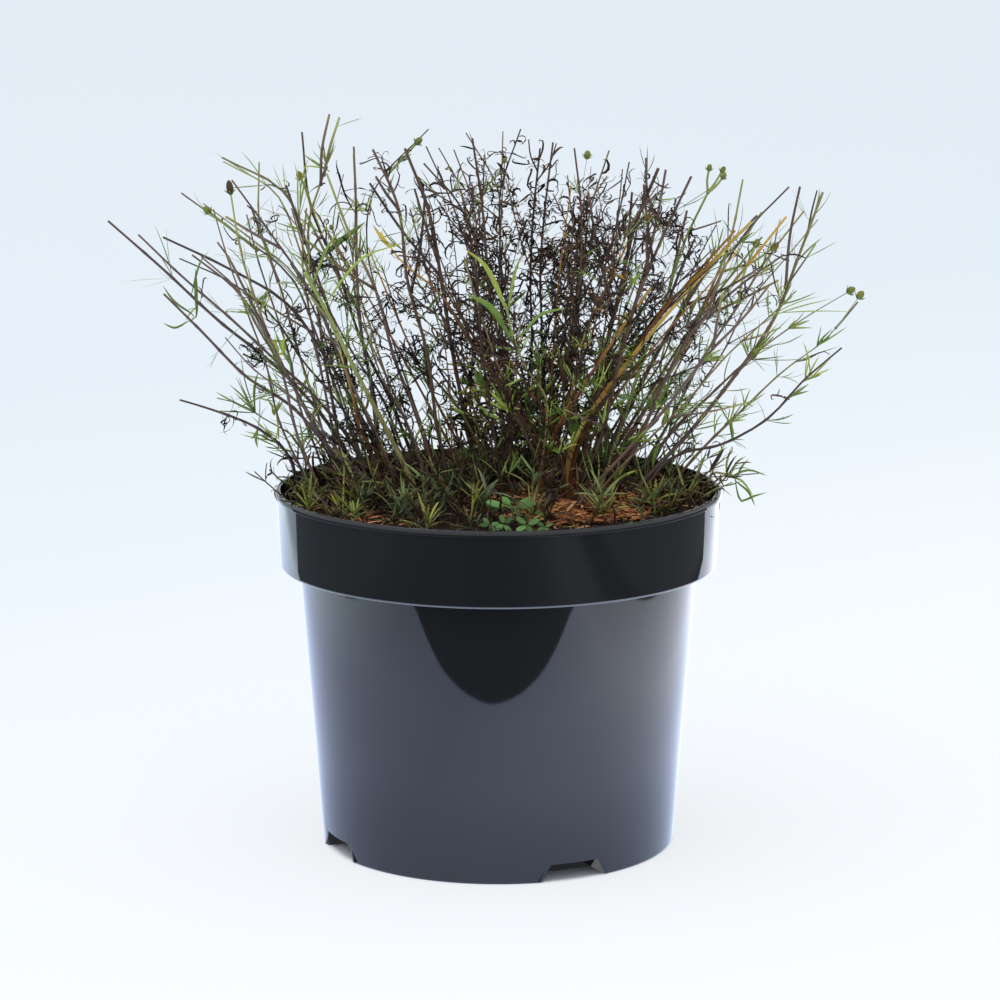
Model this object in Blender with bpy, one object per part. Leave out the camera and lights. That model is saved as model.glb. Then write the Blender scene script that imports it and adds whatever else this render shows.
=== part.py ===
"""A potted threadleaf coreopsis, cut back to a dome of stems, in a black nursery pot.

The pot is a thin-walled turned shape with a deep rim band and four foot notches. It is filled
with compost, and about fifty thin stems stand in holes in the compost. Each stem is one solid
with its side twigs and its thread-like leaves, and every stem is bent clear of the others.

Sizes and places are in millimetres here: the floor is z = 0, the pot's axis is x = y = 0, and
the front of the pot faces -Y. MM turns them into metres where a mesh is made.
"""

import math
from typing import NamedTuple

import bpy
import numpy as np

MM = 0.001

# The pot
POT_HEIGHT = 153.4
LIP_RADIUS = 95.0
LIP_HEIGHT = 2.4
LIP_PROUD = 0.8
BAND_HEIGHT = 32.4
BAND_FOOT_RADIUS = 93.0
BODY_TOP_RADIUS = 84.9
FOOT_RADIUS = 75.3
EDGE = 1.0
WALL = 1.5
POT_SIDES = 48
NOTCH_COUNT = 4
NOTCH_FIRST_ANGLE = -65.0
NOTCH_HEIGHT = 7.8
NOTCH_DEPTH = 15.0
NOTCH_HALF_WIDTH = 14.9
NOTCH_ROOF_HALF_WIDTH = 10.8
CUT_REACH = 6.0
CUT_DROP = 2.0
DRAIN_WIDTH = 9.0
DRAIN_DEPTH = 5.0

# The compost
SOIL_EDGE = 144.8
SOIL_MOUND = 3.6
SOIL_RADIUS = 91.2
SOIL_RINGS = (24.0, 47.0, 69.0)
SOIL_SIDES = 28
SOIL_WAVE = 0.75
FIT = 0.3
ROOT_DEPTH = 6.0
ROOT_RISE = 4.0
CHIP_COUNT = 10
CHIP_PATCH = (31.0, -12.0)
CHIP_SPREAD = (36.0, 30.0)
CHIP_HALF_LENGTH = (3.0, 6.5)
CHIP_HALF_WIDTH = (1.5, 3.0)
CHIP_HALF_THICKNESS = 1.6
CHIP_RISE = 0.2
CHIP_TILT = 0.16

# The plant: each pair of numbers is the least and the most of a random draw, and the angles
# are in degrees.
SEED = 2026
STEM_SIDES = 3
STEM_PIECES = 6
STEM_GIRTH = 1.15
STEM_TAPER = 0.72
STEM_UPRIGHT = 0.5
JOINT_BEND = 0.9
TWIG_WIDTH = 1.5
TWIG_PLACE = (0.52, 0.82)
TWIG_REACH = (0.6, 0.95)
TWIG_SPREAD = (24, 40)
TWIG_BEND = (4, 16)
FORK_BOW = 0.08
FIRST_PAIR = 24.0
BARE_TIP = 22.0
PAIR_JITTER = (-3, 3)
THREAD_WIDTH = 1.15
THREAD_LENGTH = (11, 21)
THREAD_SPREAD = (32, 58)
THREAD_BEND = (-25, 40)
CURL_WIDTH = 1.15
CURL_LENGTH = (8, 14)
CURL_SPREAD = (50, 85)
CURL_BEND = (-150, 150)
LEAF_TURN_SLACK = (0.1, 0.06)
BUD_RADIUS = 2.1
BUD_STATIONS = (-1.1, -0.2, 1.0, 2.0)
BUD_SWELL = (0.45, 1.0, 0.85, 0.25)
SEED_HEAD_STRETCH = 1.5
SPRAY_TURNS = (0.4, 2.6, 4.5)
SPRAY_SPREAD = 0.55
SPRAY_BEND = 0.4
SPRAY_STALK = 12.0
SPRAY_WIDTH = 1.3
SPRAY_BUD_RADIUS = 1.6
BROAD_HALF_WIDTHS = (0.6, 1.5, 0.0)
BROAD_ARCH = 0.16
BROAD_FLAT = 0.4

# The half widths along a limb, as shares of its half width
SWELL = {
    "twig": (1.0, 0.9, 0.75),
    "thread": (0.8, 1.0, 0.0),
    "blade": (0.7, 1.0, 0.0),
    "curl": (0.8, 1.1, 0.0),
}

# How far the random draws of each sort are from those of the others
FORK_DRAWS, BROAD_DRAWS, LEAF_DRAWS, SPROUT_DRAWS, CHIP_DRAWS, TWIG_DRAWS = range(100, 601, 100)

# How limbs make room for each other
CLEARANCE = 0.6
SOIL_CLEARANCE = 1.0
NEAR = 6.0
STEM_TRIES = 260
LEAF_TRIES = 24
SPROUT_LEAF_TRIES = 40
STEM_SHIFT = (0.06, 0.144, 0.036)
BASE_SHARE = 0.15
TIP_SHIFT = 0.08
FORK_DROP = 0.1
SPROUT_SHIFT = (0.05, 0.05, 0.005)

# A direction that no stem follows, to measure turns round a stem from
SKEW = (0.31, 0.95, 0.0)


class Shoot(NamedTuple):
    """One leafy stem: where it leaves the compost, the points it passes, and what it bears."""

    kind: str
    width: float
    base: tuple
    route: tuple
    pairs: int = 4
    twigs: int = 1
    tip: str = "cut"
    forks: tuple = ()


class Limb(NamedTuple):
    """One length of a plant: its route, its half widths along it, the direction it is widest
    in, how thin it is across that, and what it is."""

    sort: str
    route: np.ndarray
    radii: np.ndarray
    side: np.ndarray
    flat: float = 1.0


# Every fork is the height where it leaves its stem, its own tip and what it ends in.
SHOOTS = (
    # The stems that lean out over the left of the rim
    Shoot("dry", 2.0, (-58, 34), ((-76, 31, 181), (-107, 24, 210), (-165, 10, 266)), 2, 0),
    Shoot("dry", 1.9, (-46, 50), ((-88, 44, 223), (-144, 34, 256)), 2, 0),
    Shoot("dry", 1.9, (-63, 21), ((-106, 20, 227), (-130, 14, 251)), 3, 0),
    Shoot("dry", 2.0, (-52, 8), ((-87, 8, 184), (-110, 0, 204), (-140, -12, 238)), 3, 0),
    Shoot("dry", 1.9, (-85, 14), ((-91, 8, 168), (-134, -12, 193)), 1, 0),
    Shoot("dry", 1.7, (-59, 62), ((-89, 66, 229), (-110, 64, 250), (-138, 60, 272)), 4, 0,
          forks=((246, (-127, 58, 265), "bud"),)),
    Shoot("green", 1.9, (-50, 27), ((-87, 30, 265), (-96, 26, 279), (-117, 18, 292)), 5),
    Shoot("green", 1.7, (-75, 4), ((-103, -4, 234), (-110, -8, 265), (-112, -10, 283)), 4, 1,
          "seed_head"),
    Shoot("dry", 2.1, (-43, 16), ((-90, 10, 254), (-112, 4, 284)), 4),
    Shoot("dry", 1.6, (-71, 46), ((-104, 72, 262), (-105, 78, 285)), 4),
    Shoot("dry", 1.7, (-36, 70), ((-80, 52, 265), (-85, 56, 299)), 4, 0,
          forks=((266, (-86, 50, 281), "bud"),)),
    Shoot("green", 2.0, (-67, 36), ((-81, 30, 252), (-75, 34, 287)), 5, 0, "cut",
          ((278, (-72, 32, 309), "cut"), (282, (-68, 38, 307), "cut"))),
    Shoot("dry", 2.4, (-26, 20), ((-56, 12, 242), (-66, 6, 270), (-72, 2, 287)), 4),
    Shoot("green", 1.8, (-52, 57), ((-62, 60, 241), (-62, 66, 292)), 5),
    Shoot("green", 2.7, (-35, 5), ((-47, 3, 179), (-68, -22, 225), (-80, -34, 250)), 4),
    # The dense dark middle
    Shoot("dry", 2.0, (-20, -1), ((-41, -28, 271), (-51, -45, 302)), 4, 2),
    Shoot("dry", 1.9, (-28, 79), ((-59, 88, 256), (-31, 98, 296)), 4, 0,
          forks=((276, (-35, 88, 292), "bud"),)),
    Shoot("dry", 2.0, (-9, 34), ((-28, 34, 259), (-40, 36, 294)), 4, 2),
    Shoot("dry", 1.9, (2, 65), ((-19, 80, 263), (-32, 92, 289)), 4, 2),
    Shoot("dry", 2.0, (2, -7), ((-13, -38, 270), (-30, -60, 298)), 4, 2),
    Shoot("dry", 1.8, (-13, 80), ((-11, 104, 264), (-20, 116, 285)), 4, 2),
    Shoot("dry", 2.4, (3, 14), ((-7, 22, 282), (-11, 20, 300)), 4, 2),
    Shoot("dry", 2.0, (6, 45), ((-2, 50, 281), (-14, 52, 299)), 4, 0,
          forks=((262, (-26, 66, 291), "cut"),)),
    Shoot("dry", 1.9, (3, 81), ((2, 106, 273), (10, 118, 294)), 4, 0,
          forks=((268, (2, 88, 296), "cut"),)),
    Shoot("dry", 2.5, (14, 32), ((15, 44, 266), (18, 46, 293)), 4, 0,
          forks=((283, (13, 44, 297), "cut"), (279, (25, 47, 295), "cut"))),
    Shoot("dry", 2.3, (19, 58), ((20, 70, 257), (24, 80, 292)), 5, 2),
    Shoot("dry", 2.4, (24, 11), ((35, 16, 280), (32, 8, 297)), 4, 2),
    Shoot("green", 1.5, (26, 79), ((36, 100, 251), (40, 116, 283)), 4, 0, "bud"),
    Shoot("dry", 2.1, (28, 42), ((41, 52, 272), (48, 56, 291)), 4, 2),
    Shoot("dry", 2.0, (20, -9), ((47, -34, 270), (53, -55, 298)), 4, 2),
    Shoot("dry", 2.2, (34, 25), ((58, 26, 258), (68, 22, 287)), 5, 2),
    Shoot("dry", 2.0, (39, 64), ((73, 78, 266), (74, 88, 279)), 4, 0,
          forks=((258, (66, 108, 282), "cut"),)),
    Shoot("dry", 2.0, (33, -3), ((71, -8, 271), (80, -18, 288)), 5, 2),
    # The stems that lean out over the right of the rim
    Shoot("green", 2.0, (43, 10), ((72, 20, 234), (79, 14, 254), (89, 6, 280)), 4, 1, "spray"),
    Shoot("green", 1.7, (52, 62), ((104, 76, 254), (108, 86, 275)), 5),
    Shoot("dry", 1.7, (47, 39), ((113, 44, 265), (120, 42, 269), (125, 40, 277)), 4, 0,
          forks=((240, (119, 34, 252), "bud"),)),
    Shoot("green", 1.6, (61, 48), ((125, 66, 255), (134, 70, 263)), 4, 0,
          forks=((222, (114, 78, 248), "bud"),)),
    Shoot("green", 2.1, (57, 7), ((110, 8, 213), (125, -4, 251), (135, -14, 281)), 5, 0,
          forks=((238, (127, 6, 281), "cut"),)),
    Shoot("straw", 2.7, (44, 29), ((95, 20, 233), (121, 0, 269)), 3, 1),
    Shoot("straw", 3.0, (32, 52), ((42, 40, 181), (65, 22, 216), (109, -22, 272)), 3, 1),
    Shoot("dry", 2.4, (42, 50), ((84, 24, 235), (109, 4, 269)), 4, 1),
    Shoot("dry", 2.0, (46, -4), ((83, -8, 223), (118, -30, 257)), 5, 1),
    Shoot("green", 1.9, (34, -18), ((97, -38, 227), (110, -62, 249)), 4, 1),
    Shoot("green", 1.7, (56, 21), ((92, 20, 191), (127, 8, 223), (149, 0, 238)), 5, 0, "bud"),
    Shoot("green", 1.8, (71, 12), ((103, 0, 188), (133, -12, 214), (151, -20, 239)), 4, 0,
          "bud"),
    Shoot("dry", 2.1, (58, -8), ((73, -8, 167), (101, -18, 178), (128, -30, 204),
                                 (142, -36, 219)), 4, 0),
    Shoot("green", 2.1, (17, 5), ((21, -10, 194), (5, -36, 219), (3, -54, 240)), 4, 0),
    # A short shoot that creeps out over the right edge of the rim
    Shoot("green", 1.8, (80, 2), ((90, 1, 156.4), (98, -3, 158.4), (101, -4, 159)), 0, 0),
)

# Broad leaves that stand out: the number of the shoot, the height they leave it, and their tip.
BROAD_LEAVES = (
    (14, 244, (-62, -36, 270)),
    (14, 235, (-40, -34, 262)),
    (46, 236, (-14, -62, 264)),
    (46, 236, (10, -64, 262)),
    (46, 218, (-14, -44, 243)),
    (0, 233, (-122, 4, 254)),
    (47, 158.2, (114, -10, 160)),
    (47, 158.2, (105, -12, 169)),
    (47, 157.6, (97, 6, 171)),
    (47, 158.2, (108, -16, 152)),
)

# Leafy sprouts at the foot of the stems: place on the compost, height, and number of leaves
SPROUTS = (
    ((-63, -12), 15.0, 7),
    ((-30, -22), 17.0, 7),
    ((-8, -34), 12.0, 6),
    ((40, -36), 13.0, 7),
    ((66, -26), 11.0, 7),
    ((14, -22), 18.0, 6),
    ((-80, -14), 11.0, 6),
    ((-44, -38), 10.0, 6),
)
SPROUT_WIDTH = 1.9
SPROUT_LEAN = (-4, 4)
SPROUT_LEAF = 15.0
SPROUT_LEAF_SHARE = (0.7, 1.2)
SPROUT_LEAF_WIDTH = 2.0
SPROUT_LEAF_FLAT = 0.45
SPROUT_SPREAD = (40, 75)
SPROUT_BEND = (-40, 15)
SPROUT_TURN = 2.4
SPROUT_LOWEST = 0.62
SPROUT_HIGHEST = 0.97

# The weed seedling
SEEDLING = (6.0, -48.0)
SEEDLING_WIDTH = 1.6
SEEDLING_HEIGHT = 6.5
SEEDLING_LEAVES = 5
SEEDLING_TURN = 1.26
SEEDLING_FIRST_TURN = 0.4
SEEDLING_SPREAD = 1.15
SEEDLING_BEND = -0.3
STALK_LENGTH = 5.0
STALK_WIDTH = 1.1
PAD_STATIONS = (-1.2, 1.2, 3.6, 6.4)
PAD_HALF_WIDTHS = (0.8, 2.3, 2.5, 0.9)
PAD_FLAT = 0.3

COLOURS = {
    "pot": ((0.018, 0.019, 0.022), 0.3),
    "compost": ((0.050, 0.026, 0.014), 0.95),
    "dry": ((0.055, 0.028, 0.020), 0.8),
    "green": ((0.130, 0.190, 0.045), 0.6),
    "straw": ((0.380, 0.230, 0.050), 0.6),
    "sprout": ((0.055, 0.090, 0.035), 0.6),
    "seedling": ((0.080, 0.260, 0.050), 0.5),
}


def clear_scene():
    for obj in list(bpy.data.objects):
        bpy.data.objects.remove(obj, do_unlink=True)


def material_for(kind):
    """The kind's own Principled material, made when it is first asked for."""
    if kind in bpy.data.materials:
        return bpy.data.materials[kind]
    colour, roughness = COLOURS[kind]
    material = bpy.data.materials.new(kind)
    material.use_nodes = True
    shader = material.node_tree.nodes["Principled BSDF"]
    shader.inputs["Base Color"].default_value = (*colour, 1.0)
    shader.inputs["Roughness"].default_value = roughness
    shader.inputs["Metallic"].default_value = 0.0
    return material


def add_object(name, shape, kind, collection=None):
    """A mesh object from points in millimetres and faces, with the kind's material."""
    points, faces = shape
    mesh = bpy.data.meshes.new(name)
    mesh.from_pydata((np.asarray(points) * MM).tolist(), [], faces)
    mesh.materials.append(material_for(kind))
    mesh.update()
    obj = bpy.data.objects.new(name, mesh)
    (collection or bpy.context.scene.collection).objects.link(obj)
    return obj


def combine(obj, shapes, operation, kind, solver="MANIFOLD"):
    """Joins the shapes to the object, or cuts them from it, in one applied Boolean."""
    tools = bpy.data.collections.new(obj.name + "_tools")
    bpy.context.scene.collection.children.link(tools)
    for shape in shapes:
        add_object("tool", shape, kind, tools)
    boolean = obj.modifiers.new("combine", "BOOLEAN")
    boolean.operation = operation
    boolean.operand_type = "COLLECTION"
    boolean.collection = tools
    boolean.solver = solver
    bpy.context.view_layer.update()
    graph = bpy.context.evaluated_depsgraph_get()
    joined = bpy.data.meshes.new_from_object(obj.evaluated_get(graph))
    obj.modifiers.remove(boolean)
    obj.data = joined
    for tool in list(tools.objects):
        bpy.data.objects.remove(tool, do_unlink=True)
    bpy.data.collections.remove(tools)


def turned(profile, sides):
    """A solid turned round the z axis from a profile of (radius, height) that starts and ends
    on the axis, counter-clockwise from the bottom."""
    angles = np.arange(sides) * 2 * math.pi / sides
    rings = [(r * np.cos(angles), r * np.sin(angles), np.full(sides, z))
             for r, z in profile[1:-1]]
    points = np.concatenate([np.stack(ring, axis=1) for ring in rings])
    bottom, top = len(points), len(points) + 1
    points = np.vstack([points, (0, 0, profile[0][1]), (0, 0, profile[-1][1])])
    last = (len(rings) - 1) * sides
    faces = []
    for j in range(sides):
        k = (j + 1) % sides
        faces.append((bottom, k, j))
        for low in range(0, last, sides):
            faces.append((low + j, low + k, low + sides + k, low + sides + j))
        faces.append((top, last + j, last + k))
    return points, faces


def unit(vector):
    return np.asarray(vector, float) / np.linalg.norm(vector)


def limb_shape(limb, sides):
    """A closed tube round the limb's route, with the limb's widths. A blade is wide along its
    side vector and thin across it. Where the last width is nought the tube ends in a point."""
    route, radii = limb.route, limb.radii
    along = np.gradient(route, axis=0)
    along /= np.linalg.norm(along, axis=1)[:, None]
    across = limb.side - (along @ limb.side)[:, None] * along
    across /= np.linalg.norm(across, axis=1)[:, None]
    third = np.cross(along, across)
    angles = np.arange(sides) * 2 * math.pi / sides
    rings = (route[:, None, :]
             + np.cos(angles)[None, :, None] * (radii[:, None] * across)[:, None, :]
             + np.sin(angles)[None, :, None] * (radii * limb.flat)[:, None, None]
             * third[:, None, :])
    pointed = radii[-1] == 0
    count = len(route) - 1 if pointed else len(route)
    points = rings[:count].reshape(-1, 3)
    faces = [tuple(range(sides))[::-1]]
    for i in range(count - 1):
        for j in range(sides):
            a, b = i * sides + j, i * sides + (j + 1) % sides
            faces += [(a, b, b + sides), (a, b + sides, a + sides)]
    last = (count - 1) * sides
    if pointed:
        points = np.vstack([points, route[-1]])
        faces += [(last + j, last + (j + 1) % sides, len(points) - 1) for j in range(sides)]
    else:
        faces.append(tuple(last + j for j in range(sides)))
    return points, faces


def smooth_route(points, count):
    """A smooth curve through the points, as count points: a cubic piece between each two,
    whose slope at a point is the slope between its two neighbours."""
    points = np.asarray(points, float)
    knots = marks_along(points)
    slopes = np.empty_like(points)
    slopes[1:-1] = (points[2:] - points[:-2]) / (knots[2:] - knots[:-2])[:, None]
    slopes[0] = (points[1] - points[0]) / knots[1]
    slopes[-1] = (points[-1] - points[-2]) / (knots[-1] - knots[-2])
    at = np.linspace(0, knots[-1], count)
    low = np.clip(np.searchsorted(knots, at, side="right") - 1, 0, len(points) - 2)
    span = (knots[low + 1] - knots[low])[:, None]
    s = (at - knots[low])[:, None] / span
    return ((1 + 2 * s) * (1 - s) ** 2 * points[low] + s * (1 - s) ** 2 * span * slopes[low]
            + s * s * (3 - 2 * s) * points[low + 1] + s * s * (s - 1) * span * slopes[low + 1])


def soil_height(x, y):
    """The compost's surface: a low mound with shallow waves on it, four to nine centimetres
    from crest to crest."""
    mound = SOIL_MOUND * (1 - (x * x + y * y) / SOIL_RADIUS ** 2)
    waves = (np.sin(x / 9.0 + 1.0) * np.cos(y / 11.0) + 0.7 * np.sin((x + 1.7 * y) / 7.0)
             + 0.6 * np.cos((2.1 * x - y) / 13.0))
    return SOIL_EDGE + mound + SOIL_WAVE * waves


def least_gaps(starts, ends, other_starts, other_ends):
    """The least distance between each straight piece of one list and each of another: the
    nearest points of two lines, kept within the pieces."""
    d1 = (ends - starts)[:, None, :]
    d2 = (other_ends - other_starts)[None, :, :]
    r = starts[:, None, :] - other_starts[None, :, :]
    a = (d1 * d1).sum(-1)
    e = (d2 * d2).sum(-1)
    b = (d1 * d2).sum(-1)
    c = (d1 * r).sum(-1)
    f = (d2 * r).sum(-1)
    s = np.clip((b * f - c * e) / np.maximum(a * e - b * b, 1e-9), 0, 1)
    t = np.clip((b * s + f) / e, 0, 1)
    s = np.clip((b * t - c) / a, 0, 1)
    apart = r + s[..., None] * d1 - t[..., None] * d2
    return np.sqrt((apart * apart).sum(-1))


class Thicket:
    """Every limb that has grown so far, to tell whether a new one has room."""

    def __init__(self):
        self.starts = np.empty((0, 3))
        self.ends = np.empty((0, 3))
        self.radii = np.empty(0)
        self.owners = np.empty(0, int)

    def add(self, limb, owner):
        self.starts = np.vstack([self.starts, limb.route[:-1]])
        self.ends = np.vstack([self.ends, limb.route[1:]])
        self.radii = np.append(self.radii, np.maximum(limb.radii[:-1], limb.radii[1:]))
        self.owners = np.append(self.owners, np.full(len(limb.route) - 1, owner))

    def has_room(self, limb, owner, rooted=False):
        """Whether the limb clears the pot, the compost and every other limb. Its first piece
        may meet limbs of its own plant, because it is rooted in one of them, and all of a
        seedling's round leaf may, which is wide from its stalk on."""
        if not clears_pot(limb, rooted):
            return False
        if not len(self.radii):
            return True
        radii = np.maximum(limb.radii[:-1], limb.radii[1:])
        low = limb.route.min(0) - NEAR
        high = limb.route.max(0) + NEAR
        near = ((np.maximum(self.starts, self.ends) > low).all(1)
                & (np.minimum(self.starts, self.ends) < high).all(1))
        if not near.any():
            return True
        gaps = least_gaps(limb.route[:-1], limb.route[1:], self.starts[near], self.ends[near])
        gaps -= radii[:, None] + self.radii[near][None, :]
        own = self.owners[near] == owner
        gaps[:1 if limb.sort != "pad" else None, own] = CLEARANCE
        return bool(gaps.min() >= CLEARANCE)


def clears_pot(limb, rooted):
    """Whether the limb stays above the compost and off the rim. A rooted limb's first piece
    goes down its hole."""
    route = limb.route[1:] if rooted else limb.route
    steps = np.linspace(0, 1, 6)[:, None, None]
    points = (route[:-1] + steps * (route[1:] - route[:-1])).reshape(-1, 3)
    width = limb.radii.max()
    out = np.hypot(points[:, 0], points[:, 1])
    low = points[:, 2] < POT_HEIGHT + width + CLEARANCE
    inside = out < SOIL_RADIUS - width - CLEARANCE
    outside = out > LIP_RADIUS + width + CLEARANCE
    above = points[:, 2] > soil_height(points[:, 0], points[:, 1]) + width + SOIL_CLEARANCE
    return bool((above | outside).all() and (~low | inside | outside).all())


def stem_limb(shoot, shift, bends):
    """The shoot's main stem: straight up its hole, then smoothly through its route, narrowing
    towards its cut tip. The shift moves its points, the tip the most, and the bends
    set its joints a little off the smooth route."""
    base = np.array([*(shoot.base + BASE_SHARE * shift[:2]), 0.0])
    base[2] = soil_height(base[0], base[1])
    route = np.array(shoot.route, float)
    route += np.linspace(0.5, 1.0, len(route))[:, None] * shift
    lean = unit(unit(route[0] - base) + (0, 0, STEM_UPRIGHT))
    foot = base - lean * ROOT_DEPTH
    rise = base + lean * ROOT_RISE
    above = smooth_route([rise, *route], STEM_PIECES)
    above[1:-1] += bends
    points = np.vstack([foot, above])
    radii = shoot.width / 2 * STEM_GIRTH * np.linspace(1.0, STEM_TAPER, len(points))
    side = unit(np.cross(unit(points[-1] - points[0]), (0.0, 1.0, 0.0)))
    return Limb("stem", points, radii, side)


def marks_along(points):
    """The length of the path through the points up to each of them."""
    return np.concatenate([[0], np.cumsum(np.linalg.norm(np.diff(points, axis=0), axis=1))])


def point_at(limb, length):
    """The place and direction of the limb at a length from its start."""
    marks = marks_along(limb.route)
    i = int(np.clip(np.searchsorted(marks, length, side="right") - 1, 0, len(marks) - 2))
    along = unit(limb.route[i + 1] - limb.route[i])
    return limb.route[i] + along * (length - marks[i]), along


def length_of(limb):
    return marks_along(limb.route)[-1]


def length_at_height(limb, height):
    """The length along the limb where it passes the height."""
    return float(np.interp(height, limb.route[:, 2], marks_along(limb.route)))


def outward(along, turn):
    """A direction square to along, turned round it by an angle."""
    first = unit(np.cross(along, SKEW))
    return math.cos(turn) * first + math.sin(turn) * np.cross(along, first)


def side_limb(sort, start, along, turn, spread, length, bend, width, flat=1.0):
    """A twig or leaf that leaves its stem at a spread angle and bends by an angle towards the
    stem's tip as it grows, or away from it where the bend is negative."""
    out = outward(along, turn)
    angles = spread - bend * np.array((0.25, 0.75))
    steps = np.cos(angles)[:, None] * along + np.sin(angles)[:, None] * out
    route = start + np.vstack([np.zeros(3), np.cumsum(steps * length / 2, axis=0)])
    return Limb(sort, route, width / 2 * np.array(SWELL[sort]), np.cross(along, out), flat)


def grow_stems(thicket):
    """Each shoot's stem, bent clear of the ones before it by the least of its random shifts
    that gives it room."""
    plants = []
    for index, shoot in enumerate(SHOOTS):
        draw = np.random.default_rng(SEED + index)
        bends = draw.normal(0, JOINT_BEND, (STEM_PIECES - 2, 3))
        for attempt in range(STEM_TRIES):
            shift = draw.normal(0, 1, 3) * STEM_SHIFT * attempt
            stem = stem_limb(shoot, shift, bends)
            if thicket.has_room(stem, index, rooted=True):
                break
        else:
            raise ValueError(f"stem {index} finds no room")
        thicket.add(stem, index)
        plants.append([stem])
    return plants


def grow_forks(thicket, plants):
    """The forks that the table names: each leaves its stem at a height and bows a little on
    its way to its own tip."""
    for index, (shoot, limbs) in enumerate(zip(SHOOTS, plants)):
        draw = np.random.default_rng(SEED + FORK_DRAWS + index)
        stem = limbs[0]
        for height, tip, end in shoot.forks:
            for attempt in range(STEM_TRIES):
                place = length_at_height(stem, height - FORK_DROP * attempt)
                start, along = point_at(stem, place)
                reach = np.array(tip, float) + draw.normal(0, TIP_SHIFT * attempt, 3)
                span = reach - start
                bow = FORK_BOW * np.linalg.norm(span) * unit(unit(span) - along)
                middle = (start + reach) / 2 + bow
                twig = Limb("twig", np.array([start, middle, reach]),
                            TWIG_WIDTH / 2 * np.array(SWELL["twig"]),
                            unit(np.cross(span, (0.0, 1.0, 0.2))))
                if thicket.has_room(twig, index):
                    thicket.add(twig, index)
                    limbs.append(twig)
                    if end == "bud":
                        limbs.append(bud(reach, reach - middle, BUD_RADIUS))
                    break


def grow_twigs(thicket, plants):
    """The thin side twigs, which leave the stem in its upper half and reach nearly as high as
    its tip."""
    for index, (shoot, limbs) in enumerate(zip(SHOOTS, plants)):
        draw = np.random.default_rng(SEED + TWIG_DRAWS + index)
        stem = limbs[0]
        whole = length_of(stem)
        for _ in range(shoot.twigs):
            for _ in range(STEM_TRIES):
                start, along = point_at(stem, whole * draw.uniform(*TWIG_PLACE))
                length = draw.uniform(*TWIG_REACH) * (stem.route[-1][2] - start[2])
                twig = side_limb("twig", start, along, draw.uniform(0, 2 * math.pi),
                                 math.radians(draw.uniform(*TWIG_SPREAD)), length,
                                 math.radians(draw.uniform(*TWIG_BEND)), TWIG_WIDTH)
                if thicket.has_room(twig, index):
                    thicket.add(twig, index)
                    limbs.append(twig)
                    break


def bud(tip, along, radius, stretch=1.0):
    """A flower bud or seed head at the end of a stem: a small egg along it."""
    along = unit(along)
    route = tip + along * radius * stretch * np.array(BUD_STATIONS)[:, None]
    return Limb("bud", route, radius * np.array(BUD_SWELL), unit(np.cross(along, SKEW)))


def grow_tips(thicket, plants):
    """What the stems end in: a bud, a seed head, or a small spray of buds on short stalks."""
    for index, (shoot, limbs) in enumerate(zip(SHOOTS, plants)):
        stem = limbs[0]
        along = stem.route[-1] - stem.route[-2]
        if shoot.tip == "bud":
            limbs.append(bud(stem.route[-1], along, BUD_RADIUS))
        if shoot.tip == "seed_head":
            limbs.append(bud(stem.route[-1], along, BUD_RADIUS, SEED_HEAD_STRETCH))
        if shoot.tip == "spray":
            for turn in SPRAY_TURNS:
                stalk = side_limb("twig", stem.route[-1] - 2 * unit(along), unit(along), turn,
                                  SPRAY_SPREAD, SPRAY_STALK, SPRAY_BEND, SPRAY_WIDTH)
                limbs += [stalk, bud(stalk.route[-1], stalk.route[-1] - stalk.route[-2],
                                     SPRAY_BUD_RADIUS)]
        for limb in limbs[1:]:
            if limb.sort == "bud":
                thicket.add(limb, index)


def grow_broad_leaves(thicket, plants):
    """The broad leaves that the table names, each a thin arched blade."""
    for index, height, tip in BROAD_LEAVES:
        draw = np.random.default_rng(SEED + BROAD_DRAWS + index)
        stem = plants[index][0]
        start, _ = point_at(stem, length_at_height(stem, height))
        for attempt in range(STEM_TRIES):
            reach = np.array(tip, float) + draw.normal(0, TIP_SHIFT * attempt, 3)
            span = reach - start
            middle = (start + reach) / 2 + (0, 0, BROAD_ARCH * np.linalg.norm(span))
            blade = Limb("broad", np.array([start, middle, reach]),
                         np.array(BROAD_HALF_WIDTHS), unit(np.cross(span, (0, 0, 1.0))),
                         BROAD_FLAT)
            if thicket.has_room(blade, index):
                thicket.add(blade, index)
                plants[index].append(blade)
                break


def leaf_limb(kind, draw, start, along, turn):
    """One leaf of a pair: a green thread that reaches up, or a dead one that is curled."""
    if kind == "dry":
        return side_limb("curl", start, along, turn, math.radians(draw.uniform(*CURL_SPREAD)),
                         draw.uniform(*CURL_LENGTH), math.radians(draw.uniform(*CURL_BEND)),
                         CURL_WIDTH)
    return side_limb("thread", start, along, turn, math.radians(draw.uniform(*THREAD_SPREAD)),
                     draw.uniform(*THREAD_LENGTH), math.radians(draw.uniform(*THREAD_BEND)),
                     THREAD_WIDTH)


def slack(attempt):
    """How far, in radians, a leaf may turn from its own place, which grows with each try."""
    return LEAF_TURN_SLACK[0] + LEAF_TURN_SLACK[1] * attempt


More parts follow.
